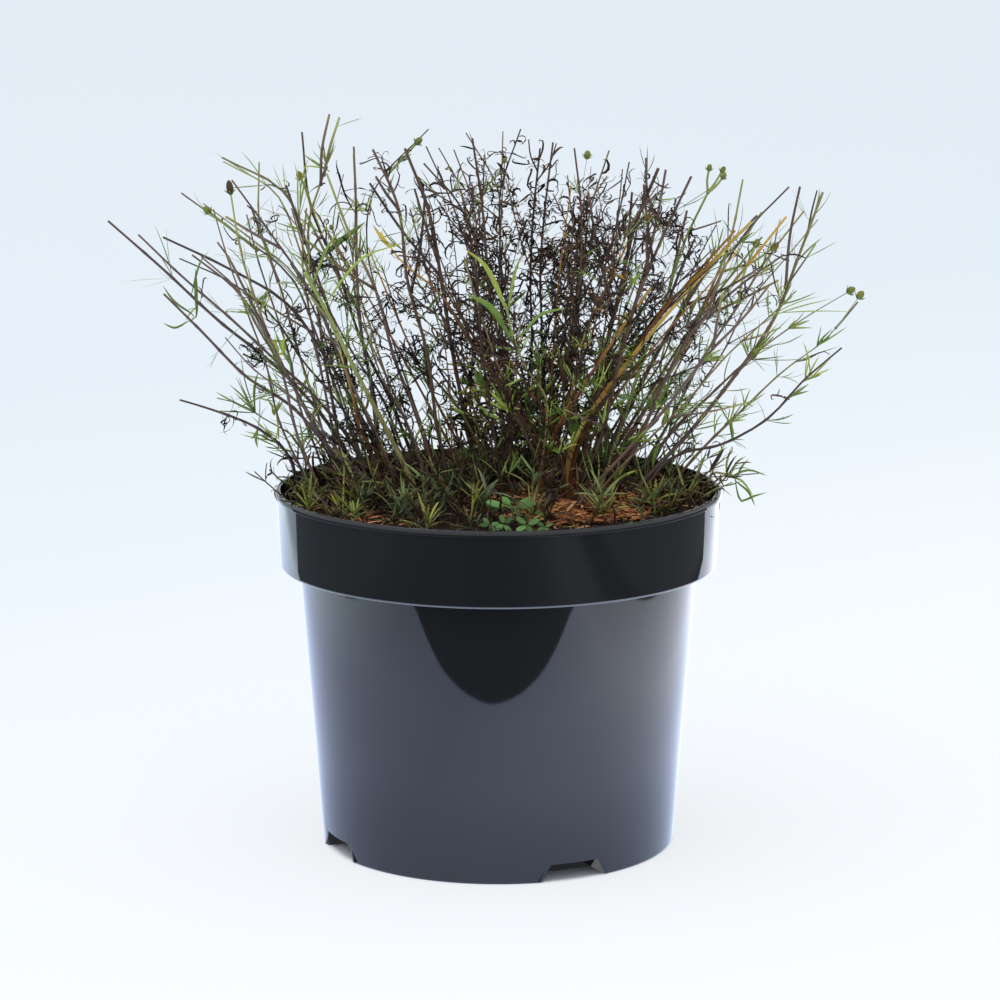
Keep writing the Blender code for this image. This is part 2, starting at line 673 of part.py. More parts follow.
def grow_leaves(thicket, plants):
    """The leaves in pairs up each stem, each pair square to the one below it."""
    for index, (shoot, limbs) in enumerate(zip(SHOOTS, plants)):
        draw = np.random.default_rng(SEED + LEAF_DRAWS + index)
        stem = limbs[0]
        room = length_of(stem) - ROOT_DEPTH - FIRST_PAIR - BARE_TIP
        first_turn = draw.uniform(0, 2 * math.pi)
        for pair in range(shoot.pairs):
            share = (pair + 0.5) / shoot.pairs
            place = ROOT_DEPTH + FIRST_PAIR + room * share + draw.uniform(*PAIR_JITTER)
            start, along = point_at(stem, place)
            for half in range(2):
                for attempt in range(LEAF_TRIES):
                    turn = (first_turn + pair * math.pi / 2 + half * math.pi
                            + draw.normal(0, slack(attempt)))
                    leaf = leaf_limb(shoot.kind, draw, start, along, turn)
                    if thicket.has_room(leaf, index):
                        thicket.add(leaf, index)
                        limbs.append(leaf)
                        break


def grow_sprouts(thicket):
    """Each basal sprout: a short stem with narrow leaves that spread like a star."""
    sprouts = []
    for number, (place, height, leaves) in enumerate(SPROUTS):
        owner = len(SHOOTS) + number
        draw = np.random.default_rng(SEED + SPROUT_DRAWS + number)
        tip = (place[0] + draw.uniform(*SPROUT_LEAN), place[1] + draw.uniform(*SPROUT_LEAN),
               soil_height(*place) + height)
        shoot = Shoot("sprout", SPROUT_WIDTH, place, (tip,))
        for attempt in range(STEM_TRIES):
            stem = stem_limb(shoot, draw.normal(0, 1, 3) * SPROUT_SHIFT * attempt, 0.0)
            if thicket.has_room(stem, owner, rooted=True):
                break
        else:
            raise ValueError(f"sprout {number} finds no room")
        thicket.add(stem, owner)
        limbs = [stem]
        whole = length_of(stem)
        for leaf_number in range(leaves):
            share = SPROUT_LOWEST + (SPROUT_HIGHEST - SPROUT_LOWEST) * leaf_number / leaves
            start, along = point_at(stem, whole * share)
            for attempt in range(SPROUT_LEAF_TRIES):
                turn = leaf_number * SPROUT_TURN + draw.normal(0, slack(attempt))
                leaf = side_limb("blade", start, along, turn,
                                 math.radians(draw.uniform(*SPROUT_SPREAD)),
                                 SPROUT_LEAF * draw.uniform(*SPROUT_LEAF_SHARE),
                                 math.radians(draw.uniform(*SPROUT_BEND)),
                                 SPROUT_LEAF_WIDTH, SPROUT_LEAF_FLAT)
                if thicket.has_room(leaf, owner):
                    thicket.add(leaf, owner)
                    limbs.append(leaf)
                    break
        sprouts.append(limbs)
    return sprouts


def grow_seedling(thicket):
    """A small weed seedling by the front of the rim, with rounded leaves on short stalks."""
    owner = len(SHOOTS) + len(SPROUTS)
    tip = (*SEEDLING, soil_height(*SEEDLING) + SEEDLING_HEIGHT)
    stem = stem_limb(Shoot("seedling", SEEDLING_WIDTH, SEEDLING, (tip,)), np.zeros(3), 0.0)
    thicket.add(stem, owner)
    limbs = [stem]
    for number in range(SEEDLING_LEAVES):
        stalk = side_limb("twig", stem.route[-2], np.array((0, 0, 1.0)),
                          SEEDLING_FIRST_TURN + SEEDLING_TURN * number, SEEDLING_SPREAD,
                          STALK_LENGTH, SEEDLING_BEND, STALK_WIDTH)
        out = unit(stalk.route[-1] - stalk.route[0])
        route = stalk.route[-1] + out * np.array(PAD_STATIONS)[:, None]
        pad = Limb("pad", route, np.array(PAD_HALF_WIDTHS), unit(np.cross(out, (0, 0, 1.0))),
                   PAD_FLAT)
        if thicket.has_room(pad, owner):
            limbs += [stalk, pad]
            thicket.add(stalk, owner)
            thicket.add(pad, owner)
    return limbs


def grow_all():
    """Every plant with its name, its kind and its limbs."""
    thicket = Thicket()
    plants = grow_stems(thicket)
    seedling_limbs = grow_seedling(thicket)
    sprout_limbs = grow_sprouts(thicket)
    grow_forks(thicket, plants)
    grow_twigs(thicket, plants)
    grow_tips(thicket, plants)
    grow_broad_leaves(thicket, plants)
    grow_leaves(thicket, plants)
    counts = {}
    grown = []
    for shoot, limbs in zip(SHOOTS, plants):
        counts[shoot.kind] = counts.get(shoot.kind, 0) + 1
        grown.append((f"{shoot.kind}_stem_{counts[shoot.kind]:02d}", shoot.kind, limbs))
    for number, limbs in enumerate(sprout_limbs):
        grown.append((f"basal_sprout_{number + 1:02d}", "sprout", limbs))
    grown.append(("weed_seedling", "seedling", seedling_limbs))
    return grown


def limb_sides(limb):
    return {"stem": STEM_SIDES, "bud": 5, "broad": 4, "pad": 5}.get(limb.sort, 3)


def make_plant(name, kind, limbs):
    """One solid from a plant's limbs: the stem with all the rest joined to it."""
    stem = limbs[0]
    obj = add_object(name, limb_shape(stem, STEM_SIDES), kind)
    rest = [limb_shape(limb, limb_sides(limb)) for limb in limbs[1:]]
    if rest:
        combine(obj, rest, "UNION", kind)


def make_pot():
    """The pot: its turned outside less its inside, both stepped at the band, with notches in
    the foot whose walls and roof keep the wall's thickness, and a drain slot in each roof."""
    band_foot = POT_HEIGHT - BAND_HEIGHT
    inner_step = band_foot + WALL
    lip_foot = POT_HEIGHT - LIP_HEIGHT
    outside = [(0, 0), (FOOT_RADIUS - EDGE, 0), (FOOT_RADIUS, EDGE),
               (BODY_TOP_RADIUS, band_foot), (BAND_FOOT_RADIUS - EDGE, band_foot),
               (BAND_FOOT_RADIUS, band_foot + EDGE), (LIP_RADIUS - LIP_PROUD, lip_foot),
               (LIP_RADIUS, lip_foot + LIP_PROUD), (LIP_RADIUS, POT_HEIGHT),
               (LIP_RADIUS - WALL - LIP_PROUD, POT_HEIGHT),
               (BAND_FOOT_RADIUS - WALL, inner_step), (BODY_TOP_RADIUS - WALL, inner_step),
               (FOOT_RADIUS - WALL, WALL), (0, WALL)]
    pot = add_object("pot", turned(outside, POT_SIDES), "pot")
    lumps, cuts, drains = [], [], []
    for number in range(NOTCH_COUNT):
        turn = math.radians(NOTCH_FIRST_ANGLE + 90 * number - 90)
        lumps.append(notch_shape(turn, WALL))
        cuts.append(notch_shape(turn, 0.0))
        drains.append(drain_shape(turn))
    combine(pot, lumps, "UNION", "pot", "EXACT")
    combine(pot, cuts + drains, "DIFFERENCE", "pot", "EXACT")


def notch_shape(turn, grow):
    """A block with sloping sides at the foot, as large as a notch and its walls. What grows
    stays inside the pot's wall, and what cuts reaches out through it."""
    inner = FOOT_RADIUS - NOTCH_DEPTH - grow
    outer = FOOT_RADIUS - WALL / 2 if grow else FOOT_RADIUS + CUT_REACH
    floor = WALL / 2 if grow else -CUT_DROP
    roof = NOTCH_HEIGHT + grow
    slope = (NOTCH_HALF_WIDTH - NOTCH_ROOF_HALF_WIDTH) / NOTCH_HEIGHT
    foot_half = NOTCH_HALF_WIDTH + grow - slope * floor
    roof_half = NOTCH_HALF_WIDTH + grow - slope * roof
    local = [(r, side * half, z) for r in (inner, outer) for z, half in
             ((floor, foot_half), (roof, roof_half)) for side in (-1, 1)]
    return turned_block(local, turn)


def drain_shape(turn):
    """A slot through the notch's roof, close to its back."""
    inner = FOOT_RADIUS - NOTCH_DEPTH + WALL
    local = [(r, y, z) for r in (inner, inner + DRAIN_DEPTH)
             for z in (NOTCH_HEIGHT - WALL, NOTCH_HEIGHT + 2 * WALL)
             for y in (-DRAIN_WIDTH / 2, DRAIN_WIDTH / 2)]
    return turned_block(local, turn)


def turned_block(local, turn):
    """A block from eight corners, listed with y fastest, then z, then x, turned about z."""
    x, y, z = np.array(local).T
    points = np.stack([x * math.cos(turn) - y * math.sin(turn),
                       x * math.sin(turn) + y * math.cos(turn), z], axis=1)
    faces = [(0, 2, 3, 1), (4, 5, 7, 6), (0, 1, 5, 4), (2, 6, 7, 3), (0, 4, 6, 2), (1, 3, 7, 5)]
    return points, faces


def chip_shapes():
    """Flat splinters of bark that lie half sunk in the compost, in a patch near the front."""
    draw = np.random.default_rng(SEED + CHIP_DRAWS)
    shapes = []
    for _ in range(CHIP_COUNT):
        x = CHIP_PATCH[0] + draw.uniform(-1, 1) * CHIP_SPREAD[0]
        y = CHIP_PATCH[1] + draw.uniform(-1, 1) * CHIP_SPREAD[1]
        half = (draw.uniform(*CHIP_HALF_LENGTH), draw.uniform(*CHIP_HALF_WIDTH),
                CHIP_HALF_THICKNESS)
        corners = [(a * half[0], b * half[1], c * half[2]) for a in (-1, 1) for c in (-1, 1)
                   for b in (-1, 1)]
        points, faces = turned_block(corners, draw.uniform(0, math.pi))
        points = points + (x, y, soil_height(x, y) + CHIP_RISE)
        points[:, 2] += draw.uniform(-CHIP_TILT, CHIP_TILT) * (points[:, 0] - x)
        shapes.append((points, faces))
    return shapes


def hole_shapes(plants):
    """A hole for each stem's root: the stem's own first length, a little wider and deeper."""
    shapes = []
    for _, _, limbs in plants:
        stem = limbs[0]
        foot, rise = stem.route[:2]
        route = np.array([foot - 2 * FIT * unit(rise - foot), rise])
        hole = Limb("hole", route, np.full(2, stem.radii[0] + 2 * FIT), stem.side)
        shapes.append(limb_shape(hole, STEM_SIDES))
    return shapes


def make_compost(plants):
    """The compost: a plug that fills the pot, clear of its foot notches, with a bumpy top."""
    notch_reach = FOOT_RADIUS - NOTCH_DEPTH - WALL - 2 * FIT
    notch_top = NOTCH_HEIGHT + WALL + 2 * FIT
    step = POT_HEIGHT - BAND_HEIGHT + WALL
    rise = (BODY_TOP_RADIUS - FOOT_RADIUS) / (POT_HEIGHT - BAND_HEIGHT)
    low_radius = FOOT_RADIUS - WALL - 2 * FIT + rise * notch_top
    profile = [(0, WALL + FIT), (notch_reach, WALL + FIT), (notch_reach, notch_top),
               (low_radius, notch_top), (BODY_TOP_RADIUS - WALL - 2 * FIT, step + FIT),
               (BAND_FOOT_RADIUS - WALL - 2 * FIT, step + FIT), (SOIL_RADIUS, SOIL_EDGE)]
    profile += [(radius, SOIL_EDGE) for radius in SOIL_RINGS[::-1]] + [(0, SOIL_EDGE)]
    points, faces = turned(profile, SOIL_SIDES)
    top = points[:, 2] == SOIL_EDGE
    points[top, 2] = soil_height(points[top, 0], points[top, 1])
    faces = [part for face in faces for part in
             ([face] if len(face) == 3 else [face[:3], (face[0], face[2], face[3])])]
    compost = add_object("compost", (points, faces), "compost")
    combine(compost, chip_shapes(), "UNION", "compost")
    combine(compost, hole_shapes(plants), "DIFFERENCE", "compost")


def main():
    clear_scene()
    plants = grow_all()
    make_pot()
    make_compost(plants)
    for name, kind, limbs in plants:
        make_plant(name, kind, limbs)


main()
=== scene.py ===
"""A potted threadleaf coreopsis, cut back to a dome of stems, in a black nursery pot.

The pot and the compost are turned shapes. Every plant grows by one plan: a stem through a few
points, and on it twigs and thread-like leaves, placed by seeded draws wherever they have room.
The plan is the one that the part was built from, so each fine plant keeps the form of the solid
that it stands for, and carries more twigs and leaves, with every leaf divided into its threads.

The plan and all the shapes are in millimetres: the floor is z = 0, the pot's axis is x = y = 0,
and the front faces -Y. MM turns them into metres where a mesh is made.
"""

import functools
import itertools
import math
from typing import NamedTuple

import bpy
import numpy as np
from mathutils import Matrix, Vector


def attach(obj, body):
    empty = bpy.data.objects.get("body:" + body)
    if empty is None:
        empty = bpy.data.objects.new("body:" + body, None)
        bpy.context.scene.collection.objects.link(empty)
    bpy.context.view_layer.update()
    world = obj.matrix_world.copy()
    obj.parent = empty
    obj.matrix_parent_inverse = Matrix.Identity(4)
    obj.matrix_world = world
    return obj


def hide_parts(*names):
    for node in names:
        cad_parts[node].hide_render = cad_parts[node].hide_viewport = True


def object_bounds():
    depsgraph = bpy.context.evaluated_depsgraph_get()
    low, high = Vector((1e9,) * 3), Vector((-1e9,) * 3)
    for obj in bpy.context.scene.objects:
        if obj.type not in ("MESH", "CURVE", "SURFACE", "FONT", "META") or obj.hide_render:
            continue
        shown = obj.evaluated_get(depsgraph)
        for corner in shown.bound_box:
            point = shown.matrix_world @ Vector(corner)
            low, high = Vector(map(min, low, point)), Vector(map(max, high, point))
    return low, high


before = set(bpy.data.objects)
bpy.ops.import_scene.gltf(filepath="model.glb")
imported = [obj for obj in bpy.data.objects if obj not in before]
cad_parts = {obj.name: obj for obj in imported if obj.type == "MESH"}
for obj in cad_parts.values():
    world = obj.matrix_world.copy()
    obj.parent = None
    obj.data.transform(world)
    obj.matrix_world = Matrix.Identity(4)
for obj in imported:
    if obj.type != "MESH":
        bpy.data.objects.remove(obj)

cad_low, cad_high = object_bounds()

bl_info = {
    "name": "Potted threadleaf coreopsis",
    "version": (1, 0, 0),
    "blender": (4, 5, 0),
    "location": "View3D > Sidebar > Coreopsis",
    "description": "Grows a cut-back threadleaf coreopsis in its nursery pot",
    "category": "Add Mesh",
}

MM = 0.001

# The pot
POT_HEIGHT = 153.4
LIP_RADIUS = 95.0
LIP_HEIGHT = 2.4
LIP_PROUD = 0.8
BAND_HEIGHT = 32.4
BAND_FOOT_RADIUS = 93.0
BODY_TOP_RADIUS = 84.9
FOOT_RADIUS = 75.3
EDGE = 1.0
WALL = 1.5
NOTCH_COUNT = 4
NOTCH_FIRST_ANGLE = -65.0
NOTCH_HEIGHT = 7.8
NOTCH_DEPTH = 15.0
NOTCH_HALF_WIDTH = 14.9
NOTCH_ROOF_HALF_WIDTH = 10.8
CUT_REACH = 6.0
CUT_DROP = 2.0
DRAIN_WIDTH = 9.0
DRAIN_DEPTH = 5.0

# The compost
SOIL_EDGE = 144.8
SOIL_MOUND = 3.6
SOIL_RADIUS = 91.2
SOIL_WAVE = 0.75
FIT = 0.3
ROOT_DEPTH = 6.0
ROOT_RISE = 4.0
CHIP_COUNT = 10
CHIP_PATCH = (31.0, -12.0)
CHIP_SPREAD = (36.0, 30.0)
CHIP_HALF_LENGTH = (3.0, 6.5)
CHIP_HALF_WIDTH = (1.5, 3.0)
CHIP_HALF_THICKNESS = 1.6
CHIP_RISE = 0.2
CHIP_TILT = 0.16

# The plant: each pair of numbers is the least and the most of a random draw, and the angles
# are in degrees.
SEED = 2026
STEM_PIECES = 6
STEM_GIRTH = 1.15
STEM_TAPER = 0.72
STEM_UPRIGHT = 0.5
JOINT_BEND = 0.9
TWIG_WIDTH = 1.5
TWIG_PLACE = (0.52, 0.82)
TWIG_REACH = (0.6, 0.95)
TWIG_SPREAD = (24, 40)
TWIG_BEND = (4, 16)
FORK_BOW = 0.08
FIRST_PAIR = 24.0
BARE_TIP = 22.0
PAIR_JITTER = (-3, 3)
LEAF_WIDTH = 1.15
LEAF_TURN_SLACK = (0.1, 0.06)
BUD_RADIUS = 2.1
BUD_STATIONS = (-1.1, -0.2, 1.0, 2.0)
BUD_SWELL = (0.45, 1.0, 0.85, 0.25)
BUD_STRETCH = {"bud": 1.0, "seed_head": 1.5}
SPRAY_TURNS = (0.4, 2.6, 4.5)
SPRAY_SPREAD = 0.55
SPRAY_BEND = 0.4
SPRAY_STALK = 12.0
SPRAY_WIDTH = 1.3
SPRAY_BUD_RADIUS = 1.6
BROAD_HALF_WIDTHS = (0.6, 1.5, 0.0)
BROAD_ARCH = 0.16
BROAD_FLAT = 0.4

# The half widths along a limb, as shares of its half width
SWELL = {
    "twig": (1.0, 0.9, 0.75),
    "thread": (0.8, 1.0, 0.0),
    "blade": (0.7, 1.0, 0.0),
    "curl": (0.8, 1.1, 0.0),
}

# How far each sort of leaf spreads from its stem, its length, and how far it bends
LEAF_SORTS = {
    "thread": ((32, 58), (11, 21), (-25, 40)),
    "curl": ((50, 85), (8, 14), (-150, 150)),
}

# How far the random draws of each sort are from those of the others
FORK_DRAWS, BROAD_DRAWS, LEAF_DRAWS, SPROUT_DRAWS, CHIP_DRAWS, TWIG_DRAWS = range(100, 601, 100)

# How limbs make room for each other
CLEARANCE = 0.6
SOIL_CLEARANCE = 1.0
NEAR = 6.0
STEM_TRIES = 260
LEAF_TRIES = 24
SPROUT_LEAF_TRIES = 40
STEM_SHIFT = (0.06, 0.144, 0.036)
BASE_SHARE = 0.15
TIP_SHIFT = 0.08
FORK_DROP = 0.1
SPROUT_SHIFT = (0.05, 0.05, 0.005)

# A direction that no stem follows, to measure turns round a stem from
SKEW = (0.31, 0.95, 0.0)
UP = (0.0, 0.0, 1.0)
STEM_KINDS = ("dry", "green", "straw")


class Shoot(NamedTuple):
    """One leafy stem: where it leaves the compost, the points it passes, and what it bears."""

    kind: str
    width: float
    base: tuple
    route: tuple
    pairs: int = 4
    twigs: int = 1
    tip: str = "cut"
    forks: tuple = ()


class Limb(NamedTuple):
    """One length of a plant: its route, its half widths along it, the direction it is widest
    in, how thin it is across that, and what it is."""

    sort: str
    route: np.ndarray
    radii: np.ndarray
    side: np.ndarray
    flat: float = 1.0


# Every fork is the height where it leaves its stem, its own tip and what it ends in.
SHOOTS = (
    # The stems that lean out over the left of the rim
    Shoot("dry", 2.0, (-58, 34), ((-76, 31, 181), (-107, 24, 210), (-165, 10, 266)), 2, 0),
    Shoot("dry", 1.9, (-46, 50), ((-88, 44, 223), (-144, 34, 256)), 2, 0),
    Shoot("dry", 1.9, (-63, 21), ((-106, 20, 227), (-130, 14, 251)), 3, 0),
    Shoot("dry", 2.0, (-52, 8), ((-87, 8, 184), (-110, 0, 204), (-140, -12, 238)), 3, 0),
    Shoot("dry", 1.9, (-85, 14), ((-91, 8, 168), (-134, -12, 193)), 1, 0),
    Shoot("dry", 1.7, (-59, 62), ((-89, 66, 229), (-110, 64, 250), (-138, 60, 272)), 4, 0,
          forks=((246, (-127, 58, 265), "bud"),)),
    Shoot("green", 1.9, (-50, 27), ((-87, 30, 265), (-96, 26, 279), (-117, 18, 292)), 5),
    Shoot("green", 1.7, (-75, 4), ((-103, -4, 234), (-110, -8, 265), (-112, -10, 283)), 4, 1,
          "seed_head"),
    Shoot("dry", 2.1, (-43, 16), ((-90, 10, 254), (-112, 4, 284)), 4),
    Shoot("dry", 1.6, (-71, 46), ((-104, 72, 262), (-105, 78, 285)), 4),
    Shoot("dry", 1.7, (-36, 70), ((-80, 52, 265), (-85, 56, 299)), 4, 0,
          forks=((266, (-86, 50, 281), "bud"),)),
    Shoot("green", 2.0, (-67, 36), ((-81, 30, 252), (-75, 34, 287)), 5, 0, "cut",
          ((278, (-72, 32, 309), "cut"), (282, (-68, 38, 307), "cut"))),
    Shoot("dry", 2.4, (-26, 20), ((-56, 12, 242), (-66, 6, 270), (-72, 2, 287)), 4),
    Shoot("green", 1.8, (-52, 57), ((-62, 60, 241), (-62, 66, 292)), 5),
    Shoot("green", 2.7, (-35, 5), ((-47, 3, 179), (-68, -22, 225), (-80, -34, 250)), 4),
    # The dense dark middle
    Shoot("dry", 2.0, (-20, -1), ((-41, -28, 271), (-51, -45, 302)), 4, 2),
    Shoot("dry", 1.9, (-28, 79), ((-59, 88, 256), (-31, 98, 296)), 4, 0,
          forks=((276, (-35, 88, 292), "bud"),)),
    Shoot("dry", 2.0, (-9, 34), ((-28, 34, 259), (-40, 36, 294)), 4, 2),
    Shoot("dry", 1.9, (2, 65), ((-19, 80, 263), (-32, 92, 289)), 4, 2),
    Shoot("dry", 2.0, (2, -7), ((-13, -38, 270), (-30, -60, 298)), 4, 2),
    Shoot("dry", 1.8, (-13, 80), ((-11, 104, 264), (-20, 116, 285)), 4, 2),
    Shoot("dry", 2.4, (3, 14), ((-7, 22, 282), (-11, 20, 300)), 4, 2),
    Shoot("dry", 2.0, (6, 45), ((-2, 50, 281), (-14, 52, 299)), 4, 0,
          forks=((262, (-26, 66, 291), "cut"),)),
    Shoot("dry", 1.9, (3, 81), ((2, 106, 273), (10, 118, 294)), 4, 0,
          forks=((268, (2, 88, 296), "cut"),)),
    Shoot("dry", 2.5, (14, 32), ((15, 44, 266), (18, 46, 293)), 4, 0,
          forks=((283, (13, 44, 297), "cut"), (279, (25, 47, 295), "cut"))),
    Shoot("dry", 2.3, (19, 58), ((20, 70, 257), (24, 80, 292)), 5, 2),
    Shoot("dry", 2.4, (24, 11), ((35, 16, 280), (32, 8, 297)), 4, 2),
    Shoot("green", 1.5, (26, 79), ((36, 100, 251), (40, 116, 283)), 4, 0, "bud"),
    Shoot("dry", 2.1, (28, 42), ((41, 52, 272), (48, 56, 291)), 4, 2),
    Shoot("dry", 2.0, (20, -9), ((47, -34, 270), (53, -55, 298)), 4, 2),
    Shoot("dry", 2.2, (34, 25), ((58, 26, 258), (68, 22, 287)), 5, 2),
    Shoot("dry", 2.0, (39, 64), ((73, 78, 266), (74, 88, 279)), 4, 0,
          forks=((258, (66, 108, 282), "cut"),)),
    Shoot("dry", 2.0, (33, -3), ((71, -8, 271), (80, -18, 288)), 5, 2),
    # The stems that lean out over the right of the rim
    Shoot("green", 2.0, (43, 10), ((72, 20, 234), (79, 14, 254), (89, 6, 280)), 4, 1, "spray"),
    Shoot("green", 1.7, (52, 62), ((104, 76, 254), (108, 86, 275)), 5),
    Shoot("dry", 1.7, (47, 39), ((113, 44, 265), (120, 42, 269), (125, 40, 277)), 4, 0,
          forks=((240, (119, 34, 252), "bud"),)),
    Shoot("green", 1.6, (61, 48), ((125, 66, 255), (134, 70, 263)), 4, 0,
          forks=((222, (114, 78, 248), "bud"),)),
    Shoot("green", 2.1, (57, 7), ((110, 8, 213), (125, -4, 251), (135, -14, 281)), 5, 0,
          forks=((238, (127, 6, 281), "cut"),)),
    Shoot("straw", 2.7, (44, 29), ((95, 20, 233), (121, 0, 269)), 3, 1),
    Shoot("straw", 3.0, (32, 52), ((42, 40, 181), (65, 22, 216), (109, -22, 272)), 3, 1),
    Shoot("dry", 2.4, (42, 50), ((84, 24, 235), (109, 4, 269)), 4, 1),
    Shoot("dry", 2.0, (46, -4), ((83, -8, 223), (118, -30, 257)), 5, 1),
    Shoot("green", 1.9, (34, -18), ((97, -38, 227), (110, -62, 249)), 4, 1),
    Shoot("green", 1.7, (56, 21), ((92, 20, 191), (127, 8, 223), (149, 0, 238)), 5, 0, "bud"),
    Shoot("green", 1.8, (71, 12), ((103, 0, 188), (133, -12, 214), (151, -20, 239)), 4, 0,
          "bud"),
    Shoot("dry", 2.1, (58, -8), ((73, -8, 167), (101, -18, 178), (128, -30, 204),
                                 (142, -36, 219)), 4, 0),
    Shoot("green", 2.1, (17, 5), ((21, -10, 194), (5, -36, 219), (3, -54, 240)), 4, 0),
    # A short shoot that creeps out over the right edge of the rim
    Shoot("green", 1.8, (80, 2), ((90, 1, 156.4), (98, -3, 158.4), (101, -4, 159)), 0, 0),
)

# Broad leaves that stand out: the number of the shoot, the height they leave it, their tip, and
# the half width of their fine blade.
BROAD_LEAVES = (
    (14, 244, (-62, -36, 270), 0.6),
    (14, 235, (-40, -34, 262), 0.6),
    (46, 236, (-14, -62, 264), 1.15),
    (46, 236, (10, -64, 262), 0.65),
    (46, 218, (-14, -44, 243), 1.6),
    (0, 233, (-122, 4, 254), 0.5),
    (47, 158.2, (114, -10, 160), 0.5),
    (47, 158.2, (105, -12, 169), 0.5),
    (47, 157.6, (97, 6, 171), 0.45),
    (47, 158.2, (108, -16, 152), 0.5),
)

# Leafy sprouts at the foot of the stems: place on the compost, height, and number of leaves
SPROUTS = (
    ((-63, -12), 15.0, 7),
    ((-30, -22), 17.0, 7),
    ((-8, -34), 12.0, 6),
    ((40, -36), 13.0, 7),
    ((66, -26), 11.0, 7),
    ((14, -22), 18.0, 6),
    ((-80, -14), 11.0, 6),
    ((-44, -38), 10.0, 6),
)
SPROUT_WIDTH = 1.9
SPROUT_LEAN = (-4, 4)
SPROUT_LEAF = 15.0
SPROUT_LEAF_SHARE = (0.7, 1.2)
SPROUT_LEAF_WIDTH = 2.0
SPROUT_LEAF_FLAT = 0.45
SPROUT_SPREAD = (40, 75)
SPROUT_BEND = (-40, 15)
SPROUT_TURN = 2.4
SPROUT_LOWEST = 0.62
SPROUT_HIGHEST = 0.97

# The weed seedling
SEEDLING = (6.0, -48.0)
SEEDLING_WIDTH = 1.6
SEEDLING_HEIGHT = 6.5
SEEDLING_LEAVES = 5
SEEDLING_TURN = 1.26
SEEDLING_FIRST_TURN = 0.4
SEEDLING_SPREAD = 1.15
SEEDLING_BEND = -0.3
STALK_LENGTH = 5.0
STALK_WIDTH = 1.1
PAD_STATIONS = (-1.2, 1.2, 3.6, 6.4)
PAD_HALF_WIDTHS = (0.8, 2.3, 2.5, 0.9)
PAD_FLAT = 0.3

# The fine surfaces: the stations along each sort of strand, and the corners round it
FINENESS = {
    "stem": (0, 8),
    "branch": (12, 6),
    "front": (24, 8),
    "thread": (6, 3),
    "curl": (8, 3),
    "blade": (9, 6),
    "bud": (9, 10),
    "pad": (9, 8),
    "splinter": (4, 4),
}
STEM_STATION = 7.0
FINE_GIRTH = (0.48, 0.88)
SIDE_TAPER = 0.28
GIRTH_CHANGE = (0.78, 1.12)
STRAW_GIRTH = 0.85
STRAW_COMPANIONS = 2
BUD_TAPER = 0.45
CUT_BEVEL = 0.3
JOINT_SWELL = 0.3
JOINT_LENGTH = 1.7

# How wide each sort of flat leaf is beside its solid
FINE_WIDTHS = {"blade": 0.85, "pad": 0.7}

# The joints that bear leaves, beside those of the solids
JOINT_GAP = 17.0
FIRST_JOINT = 7.0
BARE_LENGTH = 17.0
NEW_LEAF_TRIES = 4
LOBE_START = (0.04, 0.3)
LOBE_LENGTH = (0.6, 0.95)
LOBE_SPREAD = (12, 34)
DEAD_LOBE_SPREAD = (20, 75)
DEAD_LOBE_LENGTH = (0.45, 0.85)
HOOK_SHARE = 0.45
DEAD_TURN = (110, 380)
LIVE_TURN = (-60, 50)
OPENED = 0.45
LEAFY_SIDES = 0.36
LOBED = (1.0, 0.65)
SIDE_LEAF = 1.4
WHORL_CHANCE = 0.2

# Which way the seedlings' leaves face, and the places of those beside the first, on the compost
PAD_FACE = (0.1, -0.75, 0.65)
RIM_SEEDLINGS = (((-4, -56), 0.45), ((2, -60), 0.5), ((12, -66), 0.6), ((17, -46), 0.4),
                 ((18, -62), 0.4))

# The thin stems beside the main ones, and the side twigs
COMPANION_OUT = 2.6
COMPANION_REACH = (5.0, 22.0)
COMPANION_CUT = (0.8, 0.97)
COMPANION_WIDTH = (1.0, 1.6)
COMPANION_TRIES = 12
COMPANIONS = (0.12, 1.0)
RIGHT_COMPANIONS = 0.3
SIDE_TWIG_CHANCE = (0.16, 0.5)
SIDE_TWIG_LENGTH = (14.0, 40.0)
SIDE_TWIG_SPREAD = (20, 52)
SIDE_TWIG_BEND = (2, 22)
SIDE_TWIG_WIDTH = (0.7, 1.2)
SIDE_BUD_CHANCE = 0.1
SIDE_BUD_RADIUS = 1.2
BUD_LENGTH = 0.62

# The thin stems inside the dome, which lean their own way
INNER_CROWN = (44.0, 30.0)
INNER_LEAN = (-1.05, 0.85)
INNER_DEPTH = (-0.3, 0.4)
INNER_LENGTH = (60.0, 150.0)
INNER_BOW = (2.0, 9.0)
INNER_WIDTH = (1.2, 2.1)
INNER_GREEN = 0.15
INNER_STRAW = 0.2

